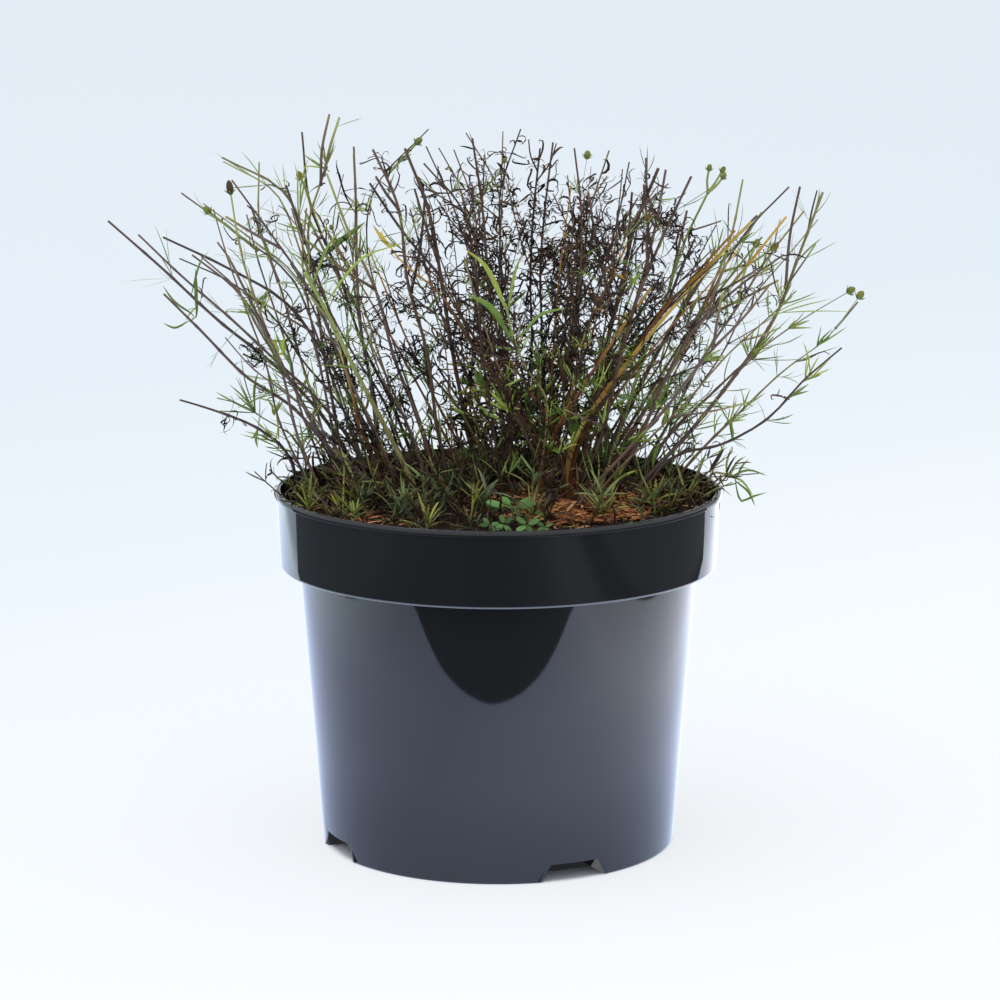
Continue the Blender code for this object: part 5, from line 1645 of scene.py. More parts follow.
def accent_strands():
    """The leaves that stand out in the photograph. Each slides along the line of sight to the
    depth of the stem that it is seen against, and grows from it."""
    stations = FINENESS["blade"][0]
    strands = []
    for foot, middle, tip, half, age, tone in ACCENTS:
        stem, slide = seen_nearest(foot)
        path = smooth_route([stem, *(np.array((foot, middle, tip), float) + slide)], stations)
        widths = half * np.sin(math.pi * np.linspace(0.06, 0.99, stations) ** 1.3) ** 0.8
        strands.append(Strand("blade", path, widths, np.cross(unit(path[-1] - path[0]), SIGHT),
                              0.3, 0.4, (age - 0.04, age + 0.04), tone))
    return strands


def whorl_strands():
    """Whorls of fine bright leaves on the stems that are seen at their places."""
    draw = np.random.default_rng(SEED + INNER_DRAWS + 1)
    strands = []
    for x, z in WHORLS:
        start, _ = seen_nearest((x, 0, z))
        upward = unit(start - WHORL_FOOT)
        for number in range(WHORL_LEAVES):
            out = outward(upward, number * 2.4 + draw.normal(0, 0.3))
            along = leaning(upward, out, draw.uniform(0.35, 1.1))
            path = curled(start + draw.normal(0, 1.0, 3), along, upward,
                          draw.uniform(*WHORL_LENGTH), draw.uniform(-0.7, 0.7))
            if in_box(path):
                age = draw.uniform(0.15, 0.42)
                strands.append(thread(path, draw.uniform(0.25, 0.5), np.cross(along, SIGHT), 0.3,
                                      (age, age + 0.05), draw.uniform(1.1, 1.5)))
    return strands


def shoot_strands(index, kind, limbs, companions):
    """Every strand of one leafy stem and of the thinner stems beside it."""
    draw = np.random.default_rng(SEED + FINE_DRAWS + index)
    stem, *others = limbs
    leaves = [limb for limb in others if limb.sort in LEAF_SORTS]
    tube, *strands = dressed_stem(draw, stem, kind, leaves)
    if kind == "straw":
        tube = tube._replace(finish=STRAW, radii=tube.radii * STRAW_GIRTH)
    if index in KNOWN_AGES:
        tube = tube._replace(ages=KNOWN_AGES[index])
    if index in THIN_TIPS:
        taper = np.interp(np.linspace(0, 1, len(tube.radii)), (0.3, 1), (1, BUD_TAPER))
        tube = tube._replace(radii=tube.radii * taper)
    strands.insert(0, tube)
    for limb in others:
        if limb.sort == "twig":
            bears_bud = any(np.linalg.norm(other.route[0] - limb.route[-1]) < 4
                            for other in others if other.sort == "bud")
            strands += twig_strands(limb, draw, True, bears_bud)
        if limb.sort == "bud":
            strands += bud_strands(limb, draw)
        if limb.sort == "broad":
            strands.append(blade_strand(limb, draw))
    share = companions * np.interp(side_share(stem.route[-1]), (1, 0), COMPANIONS)
    share *= RIGHT_COMPANIONS if stem.route[-1][0] > DEAD_MIDDLE else 1.0
    kind, stray, share = ("dry", 0.15, STRAW_COMPANIONS) if kind == "straw" else (kind, 1.0, share)
    for _ in range(int(share + draw.random()) if length_of(stem) > 60 else 0):
        for thin in fitting(lambda: companion(draw, stem, stray)):
            strands += dressed_stem(draw, thin, kind)
    return strands


def tuft_strands():
    """The tufts: crumpled scraps that start at random in a small ball and curl every way."""
    strands = []
    for number, (x, y, z, reach, count, age, tone) in enumerate(TUFTS):
        draw = np.random.default_rng(SEED + TUFT_DRAWS + number)
        for _ in range(int(count * TUFT_THIN)):
            along = unit(draw.normal(0, 1, 3))
            start = (x, y, z) + unit(draw.normal(0, 1, 3)) * reach * draw.random() ** 0.5
            toward = any_side(draw, along)
            path = curled(start, along, toward, draw.uniform(*TUFT_LENGTH), angle(draw, DEAD_TURN))
            strands.append(thread(path, draw.uniform(*TUFT_HALF), toward, draw.uniform(-4, 4),
                                  (age + draw.uniform(-0.06, 0.06),) * 2,
                                  tone * draw.uniform(0.6, 1.3), flat=SCRAP_FLAT))
    return strands


@functools.cache
def grown_plants():
    """The plan's plants, grown once for all the operators."""
    return grow_all()

SIGHT = unit((0.0, 1.0, -math.tan(math.radians(CAMERA_ELEVATION))))


@functools.cache
def stem_places():
    """Places along the main stems, two millimetres apart."""
    return np.vstack([smooth_at(limbs[0].route, np.arange(10, length_of(limbs[0]), 2.0))
                      for _, kind, limbs in grown_plants() if kind in STEM_KINDS])


def seen_nearest(place):
    """The place on a stem that the camera sees nearest to a place, and how far that place
    slides along the line of sight to its depth."""
    away = stem_places() - place
    depths = away @ SIGHT
    nearest = int(np.linalg.norm(away - depths[:, None] * SIGHT, axis=1).argmin())
    return stem_places()[nearest], depths[nearest] * SIGHT


def in_disc(draw, count, radius):
    """Places spread evenly over a disc about the pot's axis."""
    out = radius * np.sqrt(draw.random(count))
    turn = draw.uniform(0, 2 * math.pi, count)
    return out * np.cos(turn), out * np.sin(turn)


def on_compost(x, y, lift=0.0):
    """The place on the crumbly compost at x and y, or a lift above it."""
    return np.array((x, y, crumbly_height(x, y) + lift))


def inside_rim(path, room):
    """The path with the points that reach the pot's wall drawn in to leave room by it."""
    out = np.hypot(path[:, 0], path[:, 1])
    path[:, :2] *= np.minimum(1, (SOIL_RADIUS - room) / out)[:, None]
    return path


def compost_surface():
    """The plug of compost: rings of points over the top, whose height is the crumbly height,
    and below its edge the solid's own profile."""
    rings, sides = SOIL_GRID
    notch_reach = FOOT_RADIUS - NOTCH_DEPTH - WALL - 2 * FIT
    notch_top = NOTCH_HEIGHT + WALL + 2 * FIT
    step = POT_HEIGHT - BAND_HEIGHT + WALL
    rise = (BODY_TOP_RADIUS - FOOT_RADIUS) / (POT_HEIGHT - BAND_HEIGHT)
    low_radius = FOOT_RADIUS - WALL - 2 * FIT + rise * notch_top
    profile = [(0, WALL + FIT), (notch_reach, WALL + FIT), (notch_reach, notch_top),
               (low_radius, notch_top), (BODY_TOP_RADIUS - WALL - 2 * FIT, step + FIT),
               (BAND_FOOT_RADIUS - WALL - 2 * FIT, step + FIT)]
    profile += [(radius, SOIL_EDGE) for radius in np.linspace(SOIL_RADIUS, 0, rings)]
    surface = revolved(profile, sides)
    points = surface.points
    top = points[:, 2] == SOIL_EDGE
    edge = np.clip((SOIL_RADIUS - np.hypot(points[top, 0], points[top, 1])) / 3, 0, 1)
    points[top, 2] += edge * (crumbly_height(points[top, 0], points[top, 1]) - SOIL_EDGE)
    return surface


def crumb_surface(count):
    """Loose crumbs of compost, the more of them the smaller, half sunk in its surface."""
    draw = np.random.default_rng(SEED + LUMP_DRAWS)
    x, y = in_disc(draw, count, SOIL_RADIUS - 2)
    half = CRUMB_HALF[0] + (CRUMB_HALF[1] - CRUMB_HALF[0]) * draw.random(count) ** 3
    sizes = half[:, None] * draw.uniform(0.6, 1.2, (count, 3))
    return lumps(on_compost(x, y, 0.2 * half).T, sizes, draw.uniform(0, math.pi, count),
                 draw.random(count), draw.uniform(0.4, 1.3, count))


def bark_strands(count, half_length, half_width, spread):
    """Splinters of bark that lie in a patch, evenly over it, and a few of them all over."""
    draw = np.random.default_rng(SEED + BARK_DRAWS + count)
    strands = []
    stations = FINENESS["splinter"][0]
    while len(strands) < count:
        middle, size = BARK_PATCHES[int(draw.choice(len(BARK_PATCHES), p=BARK_SHARES))]
        x, y = middle + spread * np.array(size) * np.ravel(in_disc(draw, 1, 1.0))
        if math.hypot(x, y) > SOIL_RADIUS - 8:
            continue
        turn, tilt = draw.uniform(0, 2 * math.pi), draw.normal(0, 0.16)
        along = np.array((math.cos(turn), math.sin(turn), tilt))
        half = draw.uniform(*half_length)
        path = (on_compost(x, y, BARK_LIFT) + (0, 0, abs(tilt) * half * 0.7)
                + np.linspace(-1, 1, stations)[:, None] * along * half)
        path[:, 2] += draw.normal(0, 0.25, stations)
        radii = draw.uniform(*half_width) * draw.uniform(0.55, 1.0, stations)
        radii[[0, -1]] *= 0.5
        strands.append(Strand("splinter", path, radii, np.cross(along, UP), 0.4,
                              draw.uniform(-0.8, 0.8), (draw.random(),) * 2,
                              draw.uniform(0.4, 1.4)))
    return strands


def chip_strands():
    """The bark splinters that the solid compost bears, from the same draws, with torn ends."""
    draw = np.random.default_rng(SEED + CHIP_DRAWS)
    strands = []
    for _ in range(CHIP_COUNT):
        x = CHIP_PATCH[0] + draw.uniform(-1, 1) * CHIP_SPREAD[0]
        y = CHIP_PATCH[1] + draw.uniform(-1, 1) * CHIP_SPREAD[1]
        half_length, half_width = draw.uniform(*CHIP_HALF_LENGTH), draw.uniform(*CHIP_HALF_WIDTH)
        turn, tilt = draw.uniform(0, math.pi), draw.uniform(-CHIP_TILT, CHIP_TILT)
        along = np.array((math.cos(turn), math.sin(turn), 0.0))
        path = (np.array((x, y, soil_height(x, y) + CHIP_RISE))
                + np.linspace(-1, 1, 4)[:, None] * along * half_length)
        path[:, 2] += tilt * (path[:, 0] - x)
        radii = half_width * np.array((0.55, 1.0, 0.9, 0.45))
        strands.append(Strand("splinter", path, radii, np.cross(along, UP),
                              CHIP_HALF_THICKNESS / half_width, 0.3, (0.3, 0.3), 1.0))
    return strands


def litter_strands(count):
    """Dead leaf threads that lie about on the compost, low arches that curl."""
    draw = np.random.default_rng(SEED + LITTER_DRAWS)
    strands = []
    for x, y in zip(*in_disc(draw, count, SOIL_RADIUS - 9)):
        turn = draw.uniform(0, 2 * math.pi)
        along = np.array((math.cos(turn), math.sin(turn), 0.0))
        toward = np.array((-along[1], along[0], draw.uniform(0, 0.5)))
        path = inside_rim(curled(np.array((x, y, 0.0)), along, toward, draw.uniform(4, 13),
                                 draw.uniform(-3, 3)), 2)
        path[:, 2] += (crumbly_height(path[:, 0], path[:, 1])
                       + draw.uniform(0.2, 2.2) * np.sin(np.linspace(0.2, 3, len(path))) + 0.2)
        age = draw.uniform(0.1, 0.6) if draw.random() < 0.16 else draw.uniform(0.7, 1.0)
        strands.append(thread(path, draw.uniform(0.25, 0.5), toward, draw.uniform(-2, 2),
                              (age, age), draw.uniform(0.4, 1.2)))
    return strands


def is_open(place, draw):
    """Whether the place is in the patch of bark, where hardly anything grows."""
    far = np.hypot(*((np.array(place) - OPEN_MIDDLE) / OPEN_REACH))
    return far < 1 and draw.random() > OPEN_SHARE


def sprig_strands(count):
    """Low sprigs all over the compost: narrow leaves that spread from a foot like a star."""
    draw = np.random.default_rng(SEED + SPRIG_DRAWS)
    strands = []
    grown = 0
    while grown < count:
        place = draw.normal(0, 0.5, 2) * SPRIG_PATCH + (0, -4)
        if grown % 2:
            place = np.ravel(in_disc(draw, 1, SOIL_RADIUS - 10))
        if np.hypot(*place) > SOIL_RADIUS - 12 or is_open(place, draw):
            continue
        tone = draw.uniform(0.45, 1.1)
        age = draw.uniform(0.0, 0.3) + (0.62 if draw.random() < DEAD_SPRIG else 0.0)
        size = 1.0
        if grown < len(BRIGHT_SPRIGS):
            place = BRIGHT_SPRIGS[grown]
            age, tone, size = draw.uniform(0.25, 0.55), draw.uniform(0.9, 1.5), 1.5
        grown += 1
        foot = on_compost(*place)
        height = draw.uniform(1, 9)
        tip = foot + (draw.normal(0, 1.2), draw.normal(0, 1.2), height)
        strands.append(stalk_strand(foot - (0, 0, 1.5), tip, (0.6, 0.45), (age, age), tone))
        for number in range(int(size * draw.integers(*SPRIG_LEAVES))):
            start = foot + (tip - foot) * draw.uniform(0.4, 1.0)
            turn = number * SPROUT_TURN + draw.normal(0, 0.3)
            along = unit((math.cos(turn), math.sin(turn), draw.uniform(0.1, 1.6) * size))
            length = size * draw.uniform(*SPRIG_LENGTH) * draw.uniform(0.6, 1.1)
            path = inside_rim(curled(start, along, -np.array(UP), length,
                                     draw.uniform(-0.5, 1.0)), 1.5)
            path[:, 2] = np.maximum(path[:, 2], crumbly_height(path[:, 0], path[:, 1]) + 0.4)
            strands.append(thread(path, draw.uniform(*SPRIG_HALF), np.cross(along, UP),
                                  draw.uniform(-0.6, 0.6), (age, age + 0.06),
                                  tone * draw.uniform(0.85, 1.15)))
    return strands


def stalk_strand(foot, tip, half_widths, ages, tone):
    """A straight round stalk from a foot to a tip, with its half widths there."""
    stations = FINENESS["thread"][0]
    return Strand("thread", np.linspace(foot, tip, stations),
                  np.linspace(*half_widths, stations), np.array((1.0, 0, 0)), 1.0, 0.0, ages, tone)


def thatch_strands(count):
    """The low thatch behind the bark patch: short thin shoots that lean away from the crown,
    with pairs of narrow leaves, most of them dead."""
    draw = np.random.default_rng(SEED + THATCH_DRAWS)
    strands = []
    grown = 0
    while grown < count:
        x, y = draw.uniform(-1, 1, 2) * (SOIL_RADIUS - 8)
        if math.hypot(x, y) > SOIL_RADIUS - 8 or y < draw.uniform(-60, 30):
            continue
        if is_open((x, y), draw):
            continue
        grown += 1
        lean = (np.array((x, y)) - CROWN) / 90
        along = unit((*(lean + draw.normal(0, 0.2, 2)), 1.0))
        length = draw.uniform(*THATCH_LENGTH) * (1 + 0.2 * core_share((x, y, 0)))
        toward = any_side(draw, along)
        path = curled(on_compost(x, y, -1), along, toward, length, draw.uniform(-0.6, 0.6))
        if np.hypot(*path[-1][:2]) > SOIL_RADIUS and path[-1][2] < POT_HEIGHT + 4:
            continue
        strands.append(Strand("thread", path,
                              draw.uniform(0.3, 0.55) * np.linspace(1, 0.7, len(path)), toward,
                              1.0, 0.0, (0.9, draw.uniform(0.3, 0.95)), draw.uniform(0.5, 1.0)))
        for number, share in enumerate(np.arange(0.25, 1.0, THATCH_GAP / length)):
            start = smooth_point(path, share * length * 0.99)
            for half in range(2):
                turn = number * math.pi / 2 + half * math.pi + draw.normal(0, 0.4)
                out = outward(along, turn)
                leaf_along = leaning(along, out, draw.uniform(0.3, 1.2))
                alive = draw.random() < THATCH_ALIVE
                age = draw.uniform(0.0, 0.4) if alive else draw.uniform(0.7, 1.0)
                leaf = curled(start, leaf_along, unit(np.cross(leaf_along, toward)),
                              draw.uniform(5, 13), draw.uniform(-1, 1) * (0.9 if alive else 3))
                leaf[:, 2] = np.maximum(leaf[:, 2], SOIL_EDGE)
                strands.append(thread(leaf, draw.uniform(0.3, 0.75), out, draw.uniform(-1, 1),
                                      (age, age + 0.1), draw.uniform(0.6, 1.3)))
    return strands


def pot_profile():
    """The pot's outline from the axis under its foot, up its outside, over the lip and down its
    inside, with the moulded edges rounded to arcs. A point close beyond each end of an arc keeps
    the long walls straight to the gloss."""
    band_foot = POT_HEIGHT - BAND_HEIGHT
    inner_step = band_foot + WALL
    lip_foot = POT_HEIGHT - LIP_HEIGHT
    corners = [(0, 0, 0), (FOOT_RADIUS, 0, EDGE), (BODY_TOP_RADIUS, band_foot, 0.5),
               (BAND_FOOT_RADIUS, band_foot, EDGE), (LIP_RADIUS - LIP_PROUD, lip_foot, 0.06),
               (LIP_RADIUS, lip_foot, 0.12), (LIP_RADIUS, POT_HEIGHT, 1.5),
               (LIP_RADIUS - WALL - LIP_PROUD, POT_HEIGHT, 0.4),
               (BAND_FOOT_RADIUS - WALL, inner_step, 0.6),
               (BODY_TOP_RADIUS - WALL, inner_step, 0.6), (FOOT_RADIUS - WALL, WALL, 0.8),
               (0, WALL, 0)]
    points = [np.array(corners[0][:2], float)]
    for (before, corner, after) in zip(corners[:-2], corners[1:-1], corners[2:]):
        point = np.array(corner[:2], float)
        back, on = unit(np.array(before[:2]) - point), unit(np.array(after[:2]) - point)
        share = np.linspace(0, 1, 5)[:, None]
        arc = point + corner[2] * ((1 - share) ** 2 * back + share ** 2 * on)
        points += [arc[0] + HOLD * back, *arc, arc[-1] + HOLD * on]
    points.append(np.array(corners[-1][:2], float))
    return filled_profile(points, PROFILE_GAP)


def filled_profile(points, gap):
    """The profile with more points on its long straight lengths, none further apart than the
    gap."""
    full = [points[0]]
    for start, end in zip(points[:-1], points[1:]):
        count = max(int(np.ceil(np.linalg.norm(end - start) / gap)), 1)
        full += [start + (end - start) * number / count for number in range(1, count + 1)]
    return full


def carve(obj, shapes, operation):
    """Fuses the shapes with the object, or cuts them from it, and keeps the outcome."""
    tool = bpy.data.meshes.new(obj.name + "_tool")
    points, faces = [], []
    for shape_points, shape_faces in shapes:
        faces += [[number + len(points) for number in face] for face in shape_faces]
        points += [tuple(point * MM) for point in shape_points]
    tool.from_pydata(points, [], faces)
    other = linked(tool.name, tool)
    cut = obj.modifiers.new("carve", "BOOLEAN")
    cut.operation, cut.solver, cut.object = operation, "EXACT", other
    bpy.context.view_layer.update()
    graph = bpy.context.evaluated_depsgraph_get()
    carved = bpy.data.meshes.new_from_object(obj.evaluated_get(graph))
    obj.modifiers.clear()
    before, obj.data = obj.data, carved
    carved.name = obj.name
    bpy.data.meshes.remove(before)
    bpy.data.objects.remove(other)
    bpy.data.meshes.remove(tool)


def linear(colour):
    """A linear colour with alpha from sRGB hex digits such as "7c8a35"."""
    shares = np.array([int(colour[i:i + 2], 16) for i in (0, 2, 4)]) / 255
    return (*np.where(shares <= 0.04045, shares / 12.92, ((shares + 0.055) / 1.055) ** 2.4), 1.0)


def put(tree, kind, inputs=(), stops=(), out=0, **settings):
    """Adds a node with its settings, gives its inputs values or links from other nodes, and its
    ramp its (share, colour) stops, and returns one of its outputs."""
    new = tree.nodes.new("ShaderNode" + kind)
    for name, value in settings.items():
        setattr(new, name, value)
    for name, value in dict(inputs).items():
        if isinstance(value, bpy.types.NodeSocket):
            tree.links.new(value, new.inputs[name])
        else:
            new.inputs[name].default_value = value
    if stops:
        elements = new.color_ramp.elements
        while len(elements) < len(stops):
            elements.new(0.5)
        for element, (position, colour) in zip(elements, stops):
            element.position = position
            element.color = linear(colour) if isinstance(colour, str) else colour
    return new.outputs[out] if new.outputs else None


def wired(block, output, build, *measures):
    """The material or world with a fresh tree, whose output shows what build puts in it."""
    block.use_nodes = True
    block.node_tree.nodes.clear()
    put(block.node_tree, output, {"Surface": build(block.node_tree, *measures)})
    return block


def made_of(name, build, *measures):
    """A new material of a name, with the shader that build puts in its tree."""
    return wired(bpy.data.materials.new(name), "OutputMaterial", build, *measures)


def mottled(tree, size, low=0.0, high=1.0, detail=2.0, roughness=0.5):
    """A random pattern from low to high in the piece's own coordinates, whose blotches are about
    size millimetres wide."""
    noise = put(tree, "TexNoise", {"Vector": put(tree, "TexCoord", out="Object"),
                                   "Scale": 1 / (size * MM), "Detail": detail,
                                   "Roughness": roughness})
    if (low, high) == (0.0, 1.0):
        return noise
    return put(tree, "MapRange", {"Value": noise, "To Min": low, "To Max": high})


def plant_skin(tree, stops, seen_through, roughness):
    """A skin whose colour follows its age from fresh to dead and its tone from black to pale,
    mottled every few millimetres. Light shines through its thin parts."""
    age, tone = (put(tree, "Attribute", out="Fac", attribute_name=name) for name in ("age", "tone"))
    aged = put(tree, "Math", {0: age, 1: mottled(tree, 6.0, -0.07, 0.07)}, operation="ADD")
    value = put(tree, "Math", {0: tone, 1: mottled(tree, 2.5, 0.75, 1.25)}, operation="MULTIPLY")
    colour = put(tree, "HueSaturation", {"Color": put(tree, "ValToRGB", {"Fac": aged}, stops),
                                         "Value": value})
    skin = put(tree, "BsdfPrincipled", {"Base Color": colour, "Roughness": roughness,
                                        "Specular IOR Level": 0.35})
    if not seen_through:
        return skin
    glow = put(tree, "BsdfTranslucent", {"Color": colour})
    return put(tree, "MixShader", {0: seen_through, 1: skin, 2: glow})


LEAF_STOPS = ((0.0, "5d7d3c"), (0.2, "86a150"), (0.38, "a9b85a"), (0.52, "d0b84e"),
              (0.64, "a5773f"), (0.76, "715444"), (0.88, "50423b"), (1.0, "2f2723"))
STEM_STOPS = ((0.0, "778f4a"), (0.25, "8c9656"), (0.45, "837752"), (0.6, "705b4c"),
              (0.74, "5f4f4c"), (0.84, "6b5342"), (1.0, "433128"))
BUD_STOPS = ((0.0, "56682c"), (0.3, "6f7c36"), (0.6, "7c7034"), (1.0, "4a3a20"))
STRAW_STOPS = ((0.0, "dac670"), (0.3, "cfb255"), (0.5, "b58a3c"), (0.7, "85552c"),
               (1.0, "4a2f1c"))
SEEDLING_STOPS = ((0.0, "4f763c"), (0.5, "739c55"), (1.0, "9abb74"))
SPRIG_STOPS = ((0.0, "3f4a37"), (0.2, "586648"), (0.4, "7d8a48"), (0.58, "a2a04a"),
               (0.72, "76603f"), (0.85, "5c483a"), (1.0, "2c231d"))


@functools.cache
def plant_materials():
    """The finishes of the plants' stems, leaves, buds and straw-coloured stems."""
    return (made_of("coreopsis_stem_skin", plant_skin, STEM_STOPS, 0.0, 0.55),
            made_of("coreopsis_leaf", plant_skin, LEAF_STOPS, 0.3, 0.5),
            made_of("coreopsis_bud", plant_skin, BUD_STOPS, 0.0, 0.7),
            made_of("straw_stem_skin", plant_skin, STRAW_STOPS, 0.0, 0.55))


@functools.cache
def low_plant_material(kind):
    """The seedlings' bright green, or the dull dark green of the sprouts and low sprigs."""
    if kind == "seedling":
        return made_of("weed_leaf", plant_skin, SEEDLING_STOPS, 0.3, 0.45)
    return made_of("low_sprig_leaf", plant_skin, SPRIG_STOPS, 0.15, 0.5)


def moulded_plastic(tree, plastic):
    """Black moulded polypropylene: nearly black below a clear gloss, whose slow waves of a
    fraction of a degree bend the reflections as moulded walls do, with fine scuffs, and a pale
    painted highlight along the sharp lower edge of the band."""
    waves = put(tree, "Bump", {"Height": mottled(tree, 45.0, detail=1.0), "Strength": 0.1,
                               "Distance": 0.0005})
    height = put(tree, "SeparateXYZ", {"Vector": put(tree, "TexCoord", out="Object")}, out="Z")
    foot = (POT_HEIGHT - BAND_HEIGHT) * MM
    above = put(tree, "MapRange", {"Value": height, "From Min": foot, "From Max": foot + 0.0011})
    # A pale line along the band's lower edge: a painted highlight
    painted_edge_highlight = ((0.0, plastic), (0.05, "777d84"), (0.6, "5a5f66"), (1.0, plastic))
    return put(tree, "BsdfPrincipled", {
        "Base Color": put(tree, "ValToRGB", {"Fac": above}, painted_edge_highlight), "IOR": 1.5,
        "Roughness": mottled(tree, 1.4, 0.02, 0.06, 6.0, 0.7), "Normal": waves})


def peat(tree):
    """Peaty compost: near black when damp, with brown fibres, and orange-brown bark dust in the
    patch of splinters, whose share falls off with the distance from its middle."""
    place = put(tree, "TexCoord", out="Object")
    off = put(tree, "VectorMath", {0: place, 1: (*np.array(CHIP_PATCH) * MM, 0)},
              operation="SUBTRACT")
    flat = put(tree, "VectorMath", {0: off, 1: (*1 / (np.array(CHIP_SPREAD) * MM), 0)},
               operation="MULTIPLY")
    far = put(tree, "VectorMath", {0: flat}, out="Value", operation="LENGTH")
    near = put(tree, "MapRange", {"Value": far, "From Min": 0.5, "From Max": 1.15,
                                  "To Min": 1.0, "To Max": 0.0})
    damp = put(tree, "ValToRGB", {"Fac": mottled(tree, 1.6, detail=5.0, roughness=0.65)},
               ((0.3, "0f0c0b"), (0.5, "231a16"), (0.62, "3a2a20"), (0.75, "5a4028")))
    dust = put(tree, "ValToRGB", {"Fac": mottled(tree, 1.1, detail=5.0, roughness=0.7)},
               ((0.3, "46281a"), (0.5, "94592f"), (0.66, "cc8a50"), (0.8, "a87446")))
    share = put(tree, "Math", {0: near, 1: mottled(tree, 7.0, 0.3, 1.5)}, operation="MULTIPLY")
    mixed = put(tree, "Mix", {0: share, 6: damp, 7: dust}, out=2, data_type="RGBA")
    rough = put(tree, "Bump", {"Height": mottled(tree, 0.7, detail=4.0), "Strength": 0.8,
                               "Distance": 0.0006})
    return put(tree, "BsdfPrincipled", {"Base Color": mixed, "Roughness": 0.9,
                                        "Specular IOR Level": 0.2, "Normal": rough})


def torn_bark(tree):
    """Torn conifer bark: orange-brown fibres, each splinter a little redder or greyer."""
    age, tone = (put(tree, "Attribute", out="Fac", attribute_name=name) for name in ("age", "tone"))
    own = put(tree, "MapRange", {"Value": age, "To Min": -0.25, "To Max": 0.25})
    fibres = mottled(tree, 1.0, detail=4.0, roughness=0.7)
    share = put(tree, "Math", {0: fibres, 1: own}, operation="ADD")
    colour = put(tree, "ValToRGB", {"Fac": share}, ((0.2, "3a2016"), (0.4, "935630"),
                                                    (0.6, "cf8d5a"), (0.8, "e8bb8c")))
    dimmed = put(tree, "HueSaturation", {"Color": colour, "Value": tone})
    return put(tree, "BsdfPrincipled", {"Base Color": dimmed, "Roughness": 0.85,
                                        "Specular IOR Level": 0.2})


def paper_with_painted_light(tree):
    """Seamless paper, bluer towards the far side and the left, which is a painted fall-off of the
    light. It mostly glows, which is painted light that keeps its shadows faint, but not under
    the pot."""
    place = put(tree, "TexCoord", out="Object")
    off = put(tree, "VectorMath", {0: place, 1: (-0.9, 1.0, 0.0)}, out="Value",
              operation="DOT_PRODUCT")
    far = put(tree, "MapRange", {"Value": off, "From Min": -0.6, "From Max": 3.5})
    colour = put(tree, "ValToRGB", {"Fac": far}, FLOOR_PAINTED_FALLOFF)
    away = put(tree, "VectorMath", {0: place}, out="Value", operation="LENGTH")
    share = put(tree, "MapRange", {
        "Value": away, "From Min": (FOOT_RADIUS - 3) * MM, "From Max": (FOOT_RADIUS + 1) * MM,
        "To Min": 0.0, "To Max": FLOOR_GLOW})
    return put(tree, "MixShader", {
        0: share, 1: put(tree, "BsdfDiffuse", {"Color": colour}),
        2: put(tree, "Emission", {"Color": colour, "Strength": 1.0})})


def glow(tree, shades, strength, front_edge=1.0):
    """A surface that only gives light, a painted reflection for the gloss to show, whose colour
    changes from the left to the right, and which is dimmer near the pot, as a painted shade of
    the pot, and, by the factor for the front edge, towards the front."""
    place = put(tree, "TexCoord", out="Object")
    x = put(tree, "SeparateXYZ", {"Vector": place}, out="X")
    across = put(tree, "MapRange", {"Value": x, "From Min": -GLOW_REACH * MM,
                                    "From Max": GLOW_REACH * MM})
    inner, outer, dimming = NEAR_SHEET_PAINTED_SHADE
    far = put(tree, "VectorMath", {0: place}, out="Value", operation="LENGTH")
    light = put(tree, "MapRange", {
        "Value": far, "From Min": inner * MM, "From Max": outer * MM,
        "To Min": dimming * strength, "To Max": strength})
    reach, low, high = EDGE_SHEET
    held = put(tree, "Math", {0: far, 1: reach * MM}, operation="MINIMUM")
    y = put(tree, "SeparateXYZ", {"Vector": place}, out="Y")
    front = put(tree, "Math", {0: y, 1: -0.5, 2: held}, operation="MULTIPLY_ADD")
    edge = put(tree, "MapRange", {"Value": front, "From Min": low * MM, "From Max": high * MM,
                                  "To Min": 1.0, "To Max": front_edge})
    return put(tree, "Emission", {
        "Color": put(tree, "ValToRGB", {"Fac": across}, shades),
        "Strength": put(tree, "Math", {0: light, 1: edge}, operation="MULTIPLY")})


def sky(tree, strength):
    """An even pale sky."""
    return put(tree, "Background", {"Color": linear("f4f8ff"), "Strength": strength})


def low_plant_strands(index, limbs):
    """Every strand of a sprout or of the seedling."""
    draw = np.random.default_rng(SEED + FINE_DRAWS + index)
    stem = limbs[0]
    strands = [stem_strand(stem, np.array([length_of(stem) - 2]), (0.4, 0.2), 0.9)]
    for limb in limbs[1:]:
        if limb.sort == "twig":
            strands += twig_strands(limb, draw, False)
        else:
            strands.append(blade_strand(limb, draw))
    return strands


def rim_seedling_strands():
    """The seedlings beside the first one: each a stalk with four rounded leaves."""
    draw = np.random.default_rng(SEED + SEEDLING_DRAWS)
    strands = []
    for place, size in RIM_SEEDLINGS:
        foot = on_compost(*place, -0.5)
        top = foot + (draw.normal(0, 1), draw.normal(0, 1), 7 * size)
        strands.append(stalk_strand(foot, top, (0.5, 0.5), (0.3, 0.3), 0.8))
        for number in range(4):
            turn = draw.uniform(0, 1) + number * 1.57
            out = unit((math.cos(turn), 0.5 * math.sin(turn), 0.7 * math.sin(turn) + 0.1))
            path = top + out * size * np.linspace(1, 9, FINENESS["pad"][0])[:, None]
            side = np.cross(out, np.array(PAD_FACE) + draw.normal(0, 0.2, 3))
            age = draw.uniform(0, 0.6)
            strands.append(Strand("pad", path, round_half_widths(2.6 * size, len(path)), side,
                                  0.14, 0.0, (age, age), draw.uniform(0.7, 1.2)))
    return strands


def flat_sheet(name, corners, height, material):
    """A level sheet with the given corners."""
    mesh = bpy.data.meshes.new(name)
    mesh.from_pydata([(x * MM, y * MM, height * MM) for x, y in corners], [],
                     [range(len(corners))])
    mesh.materials.append(material)
    return linked(name, mesh)


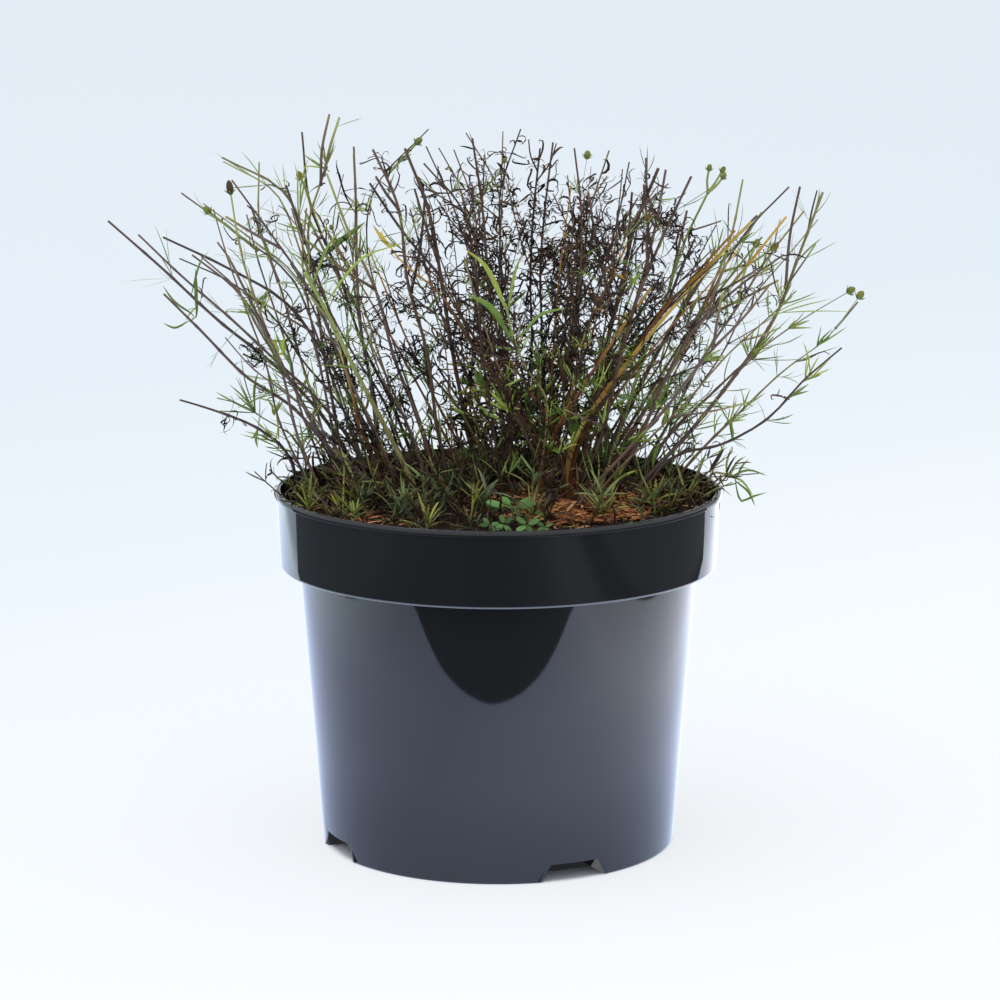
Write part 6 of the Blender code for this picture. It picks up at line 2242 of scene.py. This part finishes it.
def add_lamp(power):
    """A wide soft lamp over the front left."""
    data = bpy.data.lights.new("overhead_lamp", "AREA")
    data.shape, data.size, data.energy = "SQUARE", LAMP_SIZE * MM, power
    lamp = linked("overhead_lamp", data)
    lamp.location = np.array(LAMP_PLACE) * MM
    lamp.rotation_euler = (math.atan2(-LAMP_PLACE[1], LAMP_PLACE[2]), 0.0, 0.0)
    lamp.visible_glossy = False


def add_camera(lens):
    """The camera: level, above the front, aimed at the middle of the plant."""
    data = bpy.data.cameras.new("camera")
    data.lens, data.clip_end = lens, 100.0
    camera = linked("camera", data)
    tilt = math.radians(CAMERA_ELEVATION)
    away = CAMERA_DISTANCE * np.array((0.0, -math.cos(tilt), math.sin(tilt)))
    camera.location = (np.array(CAMERA_AIM) + away) * MM
    camera.rotation_euler = (math.pi / 2 - tilt, 0.0, 0.0)
    bpy.context.scene.camera = camera


def count(name, description, default, least=1):
    """A whole number that the user can change."""
    return bpy.props.IntProperty(name=name, description=description, default=default, min=least)


class PotSettings(bpy.types.PropertyGroup):
    sides: count("Sides", "Flat sides round the pot", 192, 24)
    plastic: bpy.props.FloatVectorProperty(
        name="Plastic", description="Colour of the moulded plastic", default=linear("1c1d20"),
        size=4, min=0.0, max=1.0, subtype="COLOR")


class CompostSettings(bpy.types.PropertyGroup):
    crumbs: count("Crumbs", "Loose crumbs on the compost", CRUMB_COUNT)
    splinters: count("Splinters", "Thin splinters of bark in the patch near the front",
                     SPLINTER_COUNT)
    litter: count("Litter", "Dead leaf threads that lie on the compost", LITTER_COUNT)
    sprigs: count("Sprigs", "Low leafy sprigs on the compost", SPRIG_COUNT)
    thatch: count("Thatch", "Short thin shoots round the foot of the stems", THATCH_COUNT)


class ShootSettings(bpy.types.PropertyGroup):
    companions: count("Companions", "Thinner stems beside each main stem", 1, 0)
    inner: count("Inner stems", "Thin stems that cross inside the dome", 42)
    tufts: bpy.props.BoolProperty(
        name="Tufts", description="Adds the ragged tufts of dead leaves", default=True)


class StageSettings(bpy.types.PropertyGroup):
    sky: bpy.props.FloatProperty(
        name="Sky", description="Strength of the even light from all round", default=0.95,
        min=0.0)
    lamp: bpy.props.FloatProperty(
        name="Lamp", description="Power of the wide lamp overhead", default=34.0, min=0.0,
        subtype="POWER", unit="POWER")
    # The sheet is no lamp: its glow paints the pot's reflections
    sheet: bpy.props.FloatProperty(
        name="Sheet", description="Brightness of the white sheet that the gloss shows",
        default=4.0, min=0.0)
    # How pale a part is at a place: the living are all alike, and the dead are brown near the tips,
    # and darker in the dark patch and low down, where the darkening is painted shade.
    lens: bpy.props.FloatProperty(
        name="Lens", description="Focal length of the camera's lens", default=138.08, min=1.0,
        subtype="DISTANCE_CAMERA", unit="CAMERA")

# The dead are paler higher up: the darkness low down is painted shade

class Step:
    """What the operators have in common."""

    bl_options = {"REGISTER", "UNDO"}


class COREOPSIS_OT_pot(Step, bpy.types.Operator):
    """Turns the nursery pot: a turned wall with notches moulded into its foot"""

    bl_idname = "coreopsis.pot"
    bl_label = "Nursery pot"

    def execute(self, context):
        settings = context.scene.coreopsis_pot
        pot = mesh_object("nursery_pot", revolved(pot_profile(), settings.sides),
                          [made_of("black_polypropylene", moulded_plastic, settings.plastic)])
        turns = [math.radians(NOTCH_FIRST_ANGLE + 90 * number - 90)
                 for number in range(NOTCH_COUNT)]
        carve(pot, [notch_shape(turn, WALL) for turn in turns], "UNION")
        carve(pot, [notch_shape(turn, 0.0) for turn in turns]
              + [drain_shape(turn) for turn in turns], "DIFFERENCE")
        pot.data.shade_smooth()
        pot.data.set_sharp_from_angle(angle=math.radians(33))
        settle(pot, "pot", "pot")
        return {"FINISHED"}


class COREOPSIS_OT_compost(Step, bpy.types.Operator):
    """Fills the pot with crumbly compost"""

    bl_idname = "coreopsis.compost"
    bl_label = "Compost"

    def execute(self, context):
        materials = [made_of("peat_compost", peat)]
        crumbs = crumb_surface(context.scene.coreopsis_compost.crumbs)
        settle(mesh_object("peat_plug", compost_surface(), materials), "compost", "compost")
        settle(mesh_object("peat_crumbs", crumbs, materials, False), "compost")
        return {"FINISHED"}


class COREOPSIS_OT_litter(Step, bpy.types.Operator):
    """Strews splinters of bark and dead leaf threads over the compost"""

    bl_idname = "coreopsis.litter"
    bl_label = "Bark and litter"

    def execute(self, context):
        settings = context.scene.coreopsis_compost
        bark = [*bark_strands(settings.splinters, (1.5, 6.0), (0.2, 0.7), 1.0),
                *bark_strands(CHUNK_COUNT, (2.5, 6.5), (0.9, 2.4), 0.95), *chip_strands()]
        settle(mesh_object("bark_splinters", surface_of(bark),
                           [made_of("conifer_bark", torn_bark)], False), "compost")
        settle(mesh_object("leaf_litter", surface_of(litter_strands(settings.litter)),
                           [plant_materials()[LEAF]]), "compost")
        return {"FINISHED"}


class COREOPSIS_OT_sprigs(Step, bpy.types.Operator):
    """Grows the low leafy sprigs and the thatch on the compost"""

    bl_idname = "coreopsis.sprigs"
    bl_label = "Sprigs and thatch"

    def execute(self, context):
        settings = context.scene.coreopsis_compost
        for name, strands in (("low_sprigs", sprig_strands(settings.sprigs)),
                              ("low_thatch", thatch_strands(settings.thatch))):
            settle(mesh_object(name, surface_of(strands), [low_plant_material("sprout")]),
                   "basal_leaf")
        return {"FINISHED"}


class COREOPSIS_OT_shoots(Step, bpy.types.Operator):
    """Grows the long leafy stems"""

    bl_idname = "coreopsis.shoots"
    bl_label = "Long stems"

    def execute(self, context):
        companions = context.scene.coreopsis_shoots.companions
        for index, (name, kind, limbs) in enumerate(grown_plants()):
            if kind in STEM_KINDS:
                surface = surface_of(shoot_strands(index, kind, limbs, companions))
                piece = mesh_object(f"{name}_grown", surface, plant_materials())
                settle(piece, f"{kind}_stem", name)
        return {"FINISHED"}


class COREOPSIS_OT_inner(Step, bpy.types.Operator):
    """Grows the thin stems inside the dome, the leaves that stand out, and the dead tufts"""

    bl_idname = "coreopsis.inner"
    bl_label = "Inner stems and tufts"

    def execute(self, context):
        settings = context.scene.coreopsis_shoots
        pieces = [("inner_stems", [*inner_strands(settings.inner), *front_stem_strands()],
                   "dry_stem"),
                  ("bright_leaves", [*accent_strands(), *whorl_strands()], "green_stem")]
        if settings.tufts:
            pieces.append(("dead_tufts", tuft_strands(), "dry_stem"))
        for name, strands, slot in pieces:
            settle(mesh_object(name, surface_of(strands), plant_materials()), slot)
        return {"FINISHED"}


class COREOPSIS_OT_sprouts(Step, bpy.types.Operator):
    """Grows the leafy sprouts at the foot of the stems, and the weed seedlings"""

    bl_idname = "coreopsis.sprouts"
    bl_label = "Sprouts and seedlings"

    def execute(self, context):
        slots = {"sprout": "basal_leaf", "seedling": "weed_leaf"}
        for index, (name, kind, limbs) in enumerate(grown_plants()):
            if kind in slots:
                piece = mesh_object(f"{name}_grown", surface_of(low_plant_strands(index, limbs)),
                                    [low_plant_material(kind)])
                settle(piece, slots[kind], name)
        settle(mesh_object("rim_seedlings", surface_of(rim_seedling_strands()),
                           [low_plant_material("seedling")]), "weed_leaf")
        return {"FINISHED"}


class COREOPSIS_OT_stage(Step, bpy.types.Operator):
    """Sets the pale floor, the soft light and the camera"""

    bl_idname = "coreopsis.stage"
    bl_label = "Stage"

    def execute(self, context):
        settings = context.scene.coreopsis_stage
        floor = flat_sheet("paper_floor", FLOOR_CORNERS, 0.0, made_of("seamless_paper", paper_with_painted_light))
        floor.visible_glossy = False
        turns = np.arange(64) * 2 * math.pi / 64
        disc = FOOT_DISC_RADIUS * np.stack([np.cos(turns), np.sin(turns)], axis=1)
        # Under the floor lie cards that only the gloss sees: their glow paints the pot's
        # reflections, a white sheet and a dark room round it, and the dark disc paints the shade
        # under the pot's foot
        sheet, dark, shade = (
            flat_sheet(name, corners, SHEET_DROP * drop, made_of(name + "_glow", glow, *look))
            for name, corners, drop, look in (
                ("painted_reflection_sheet", SHEET_CORNERS, 1, (PAINTED_REFLECTION_SHADES, settings.sheet, 0.8)),
                ("painted_dark_reflection", FLOOR_CORNERS, 2, (PAINTED_DARK_REFLECTION_SHADES, 1.0)),
                ("foot_shade", disc, 0.5, (((0.0, "141416"),), 1.0))))
        for card in (sheet, dark, shade):
            card.visible_camera = card.visible_diffuse = card.visible_shadow = False
            card.visible_transmission = card.visible_volume_scatter = False
        context.scene.world = wired(bpy.data.worlds.new("pale_sky"), "OutputWorld", sky,
                                    settings.sky)
        add_lamp(settings.lamp)
        add_camera(settings.lens)
        context.scene.view_settings.view_transform = "Standard"
        return {"FINISHED"}


class COREOPSIS_PT_panel(bpy.types.Panel):
    """The buttons that build the plant, in order"""

    bl_idname = "COREOPSIS_PT_panel"
    bl_label = "Coreopsis"
    bl_space_type = "VIEW_3D"
    bl_region_type = "UI"
    bl_category = "Coreopsis"

    def draw(self, context):
        for group, operators in PANEL_ROWS:
            box = self.layout.box()
            settings = getattr(context.scene, group)
            for name in settings.bl_rna.properties.keys():
                if name not in ("rna_type", "name"):
                    box.prop(settings, name)
            for operator in operators:
                box.operator(operator.bl_idname)


SETTINGS = {
    "coreopsis_pot": PotSettings,
    "coreopsis_compost": CompostSettings,
    "coreopsis_shoots": ShootSettings,
    "coreopsis_stage": StageSettings,
}
PANEL_ROWS = (
    ("coreopsis_pot", (COREOPSIS_OT_pot,)),
    ("coreopsis_compost", (COREOPSIS_OT_compost, COREOPSIS_OT_litter, COREOPSIS_OT_sprigs)),
    ("coreopsis_shoots", (COREOPSIS_OT_shoots, COREOPSIS_OT_inner, COREOPSIS_OT_sprouts)),
    ("coreopsis_stage", (COREOPSIS_OT_stage,)),
)
OPERATORS = tuple(operator for _, operators in PANEL_ROWS for operator in operators)


def register():
    for cls in (*SETTINGS.values(), *OPERATORS, COREOPSIS_PT_panel):
        bpy.utils.register_class(cls)
    for name, group in SETTINGS.items():
        setattr(bpy.types.Scene, name, bpy.props.PointerProperty(type=group))


def unregister():
    for name in SETTINGS:
        delattr(bpy.types.Scene, name)
    for cls in (COREOPSIS_PT_panel, *OPERATORS[::-1], *SETTINGS.values()):
        bpy.utils.unregister_class(cls)


def main():
    register()
    bpy.ops.coreopsis.pot()
    bpy.ops.coreopsis.compost()
    bpy.ops.coreopsis.litter()
    bpy.ops.coreopsis.sprigs()
    bpy.ops.coreopsis.shoots()
    bpy.ops.coreopsis.inner()
    bpy.ops.coreopsis.sprouts()
    bpy.ops.coreopsis.stage()


if __name__ == "__main__":
    main()
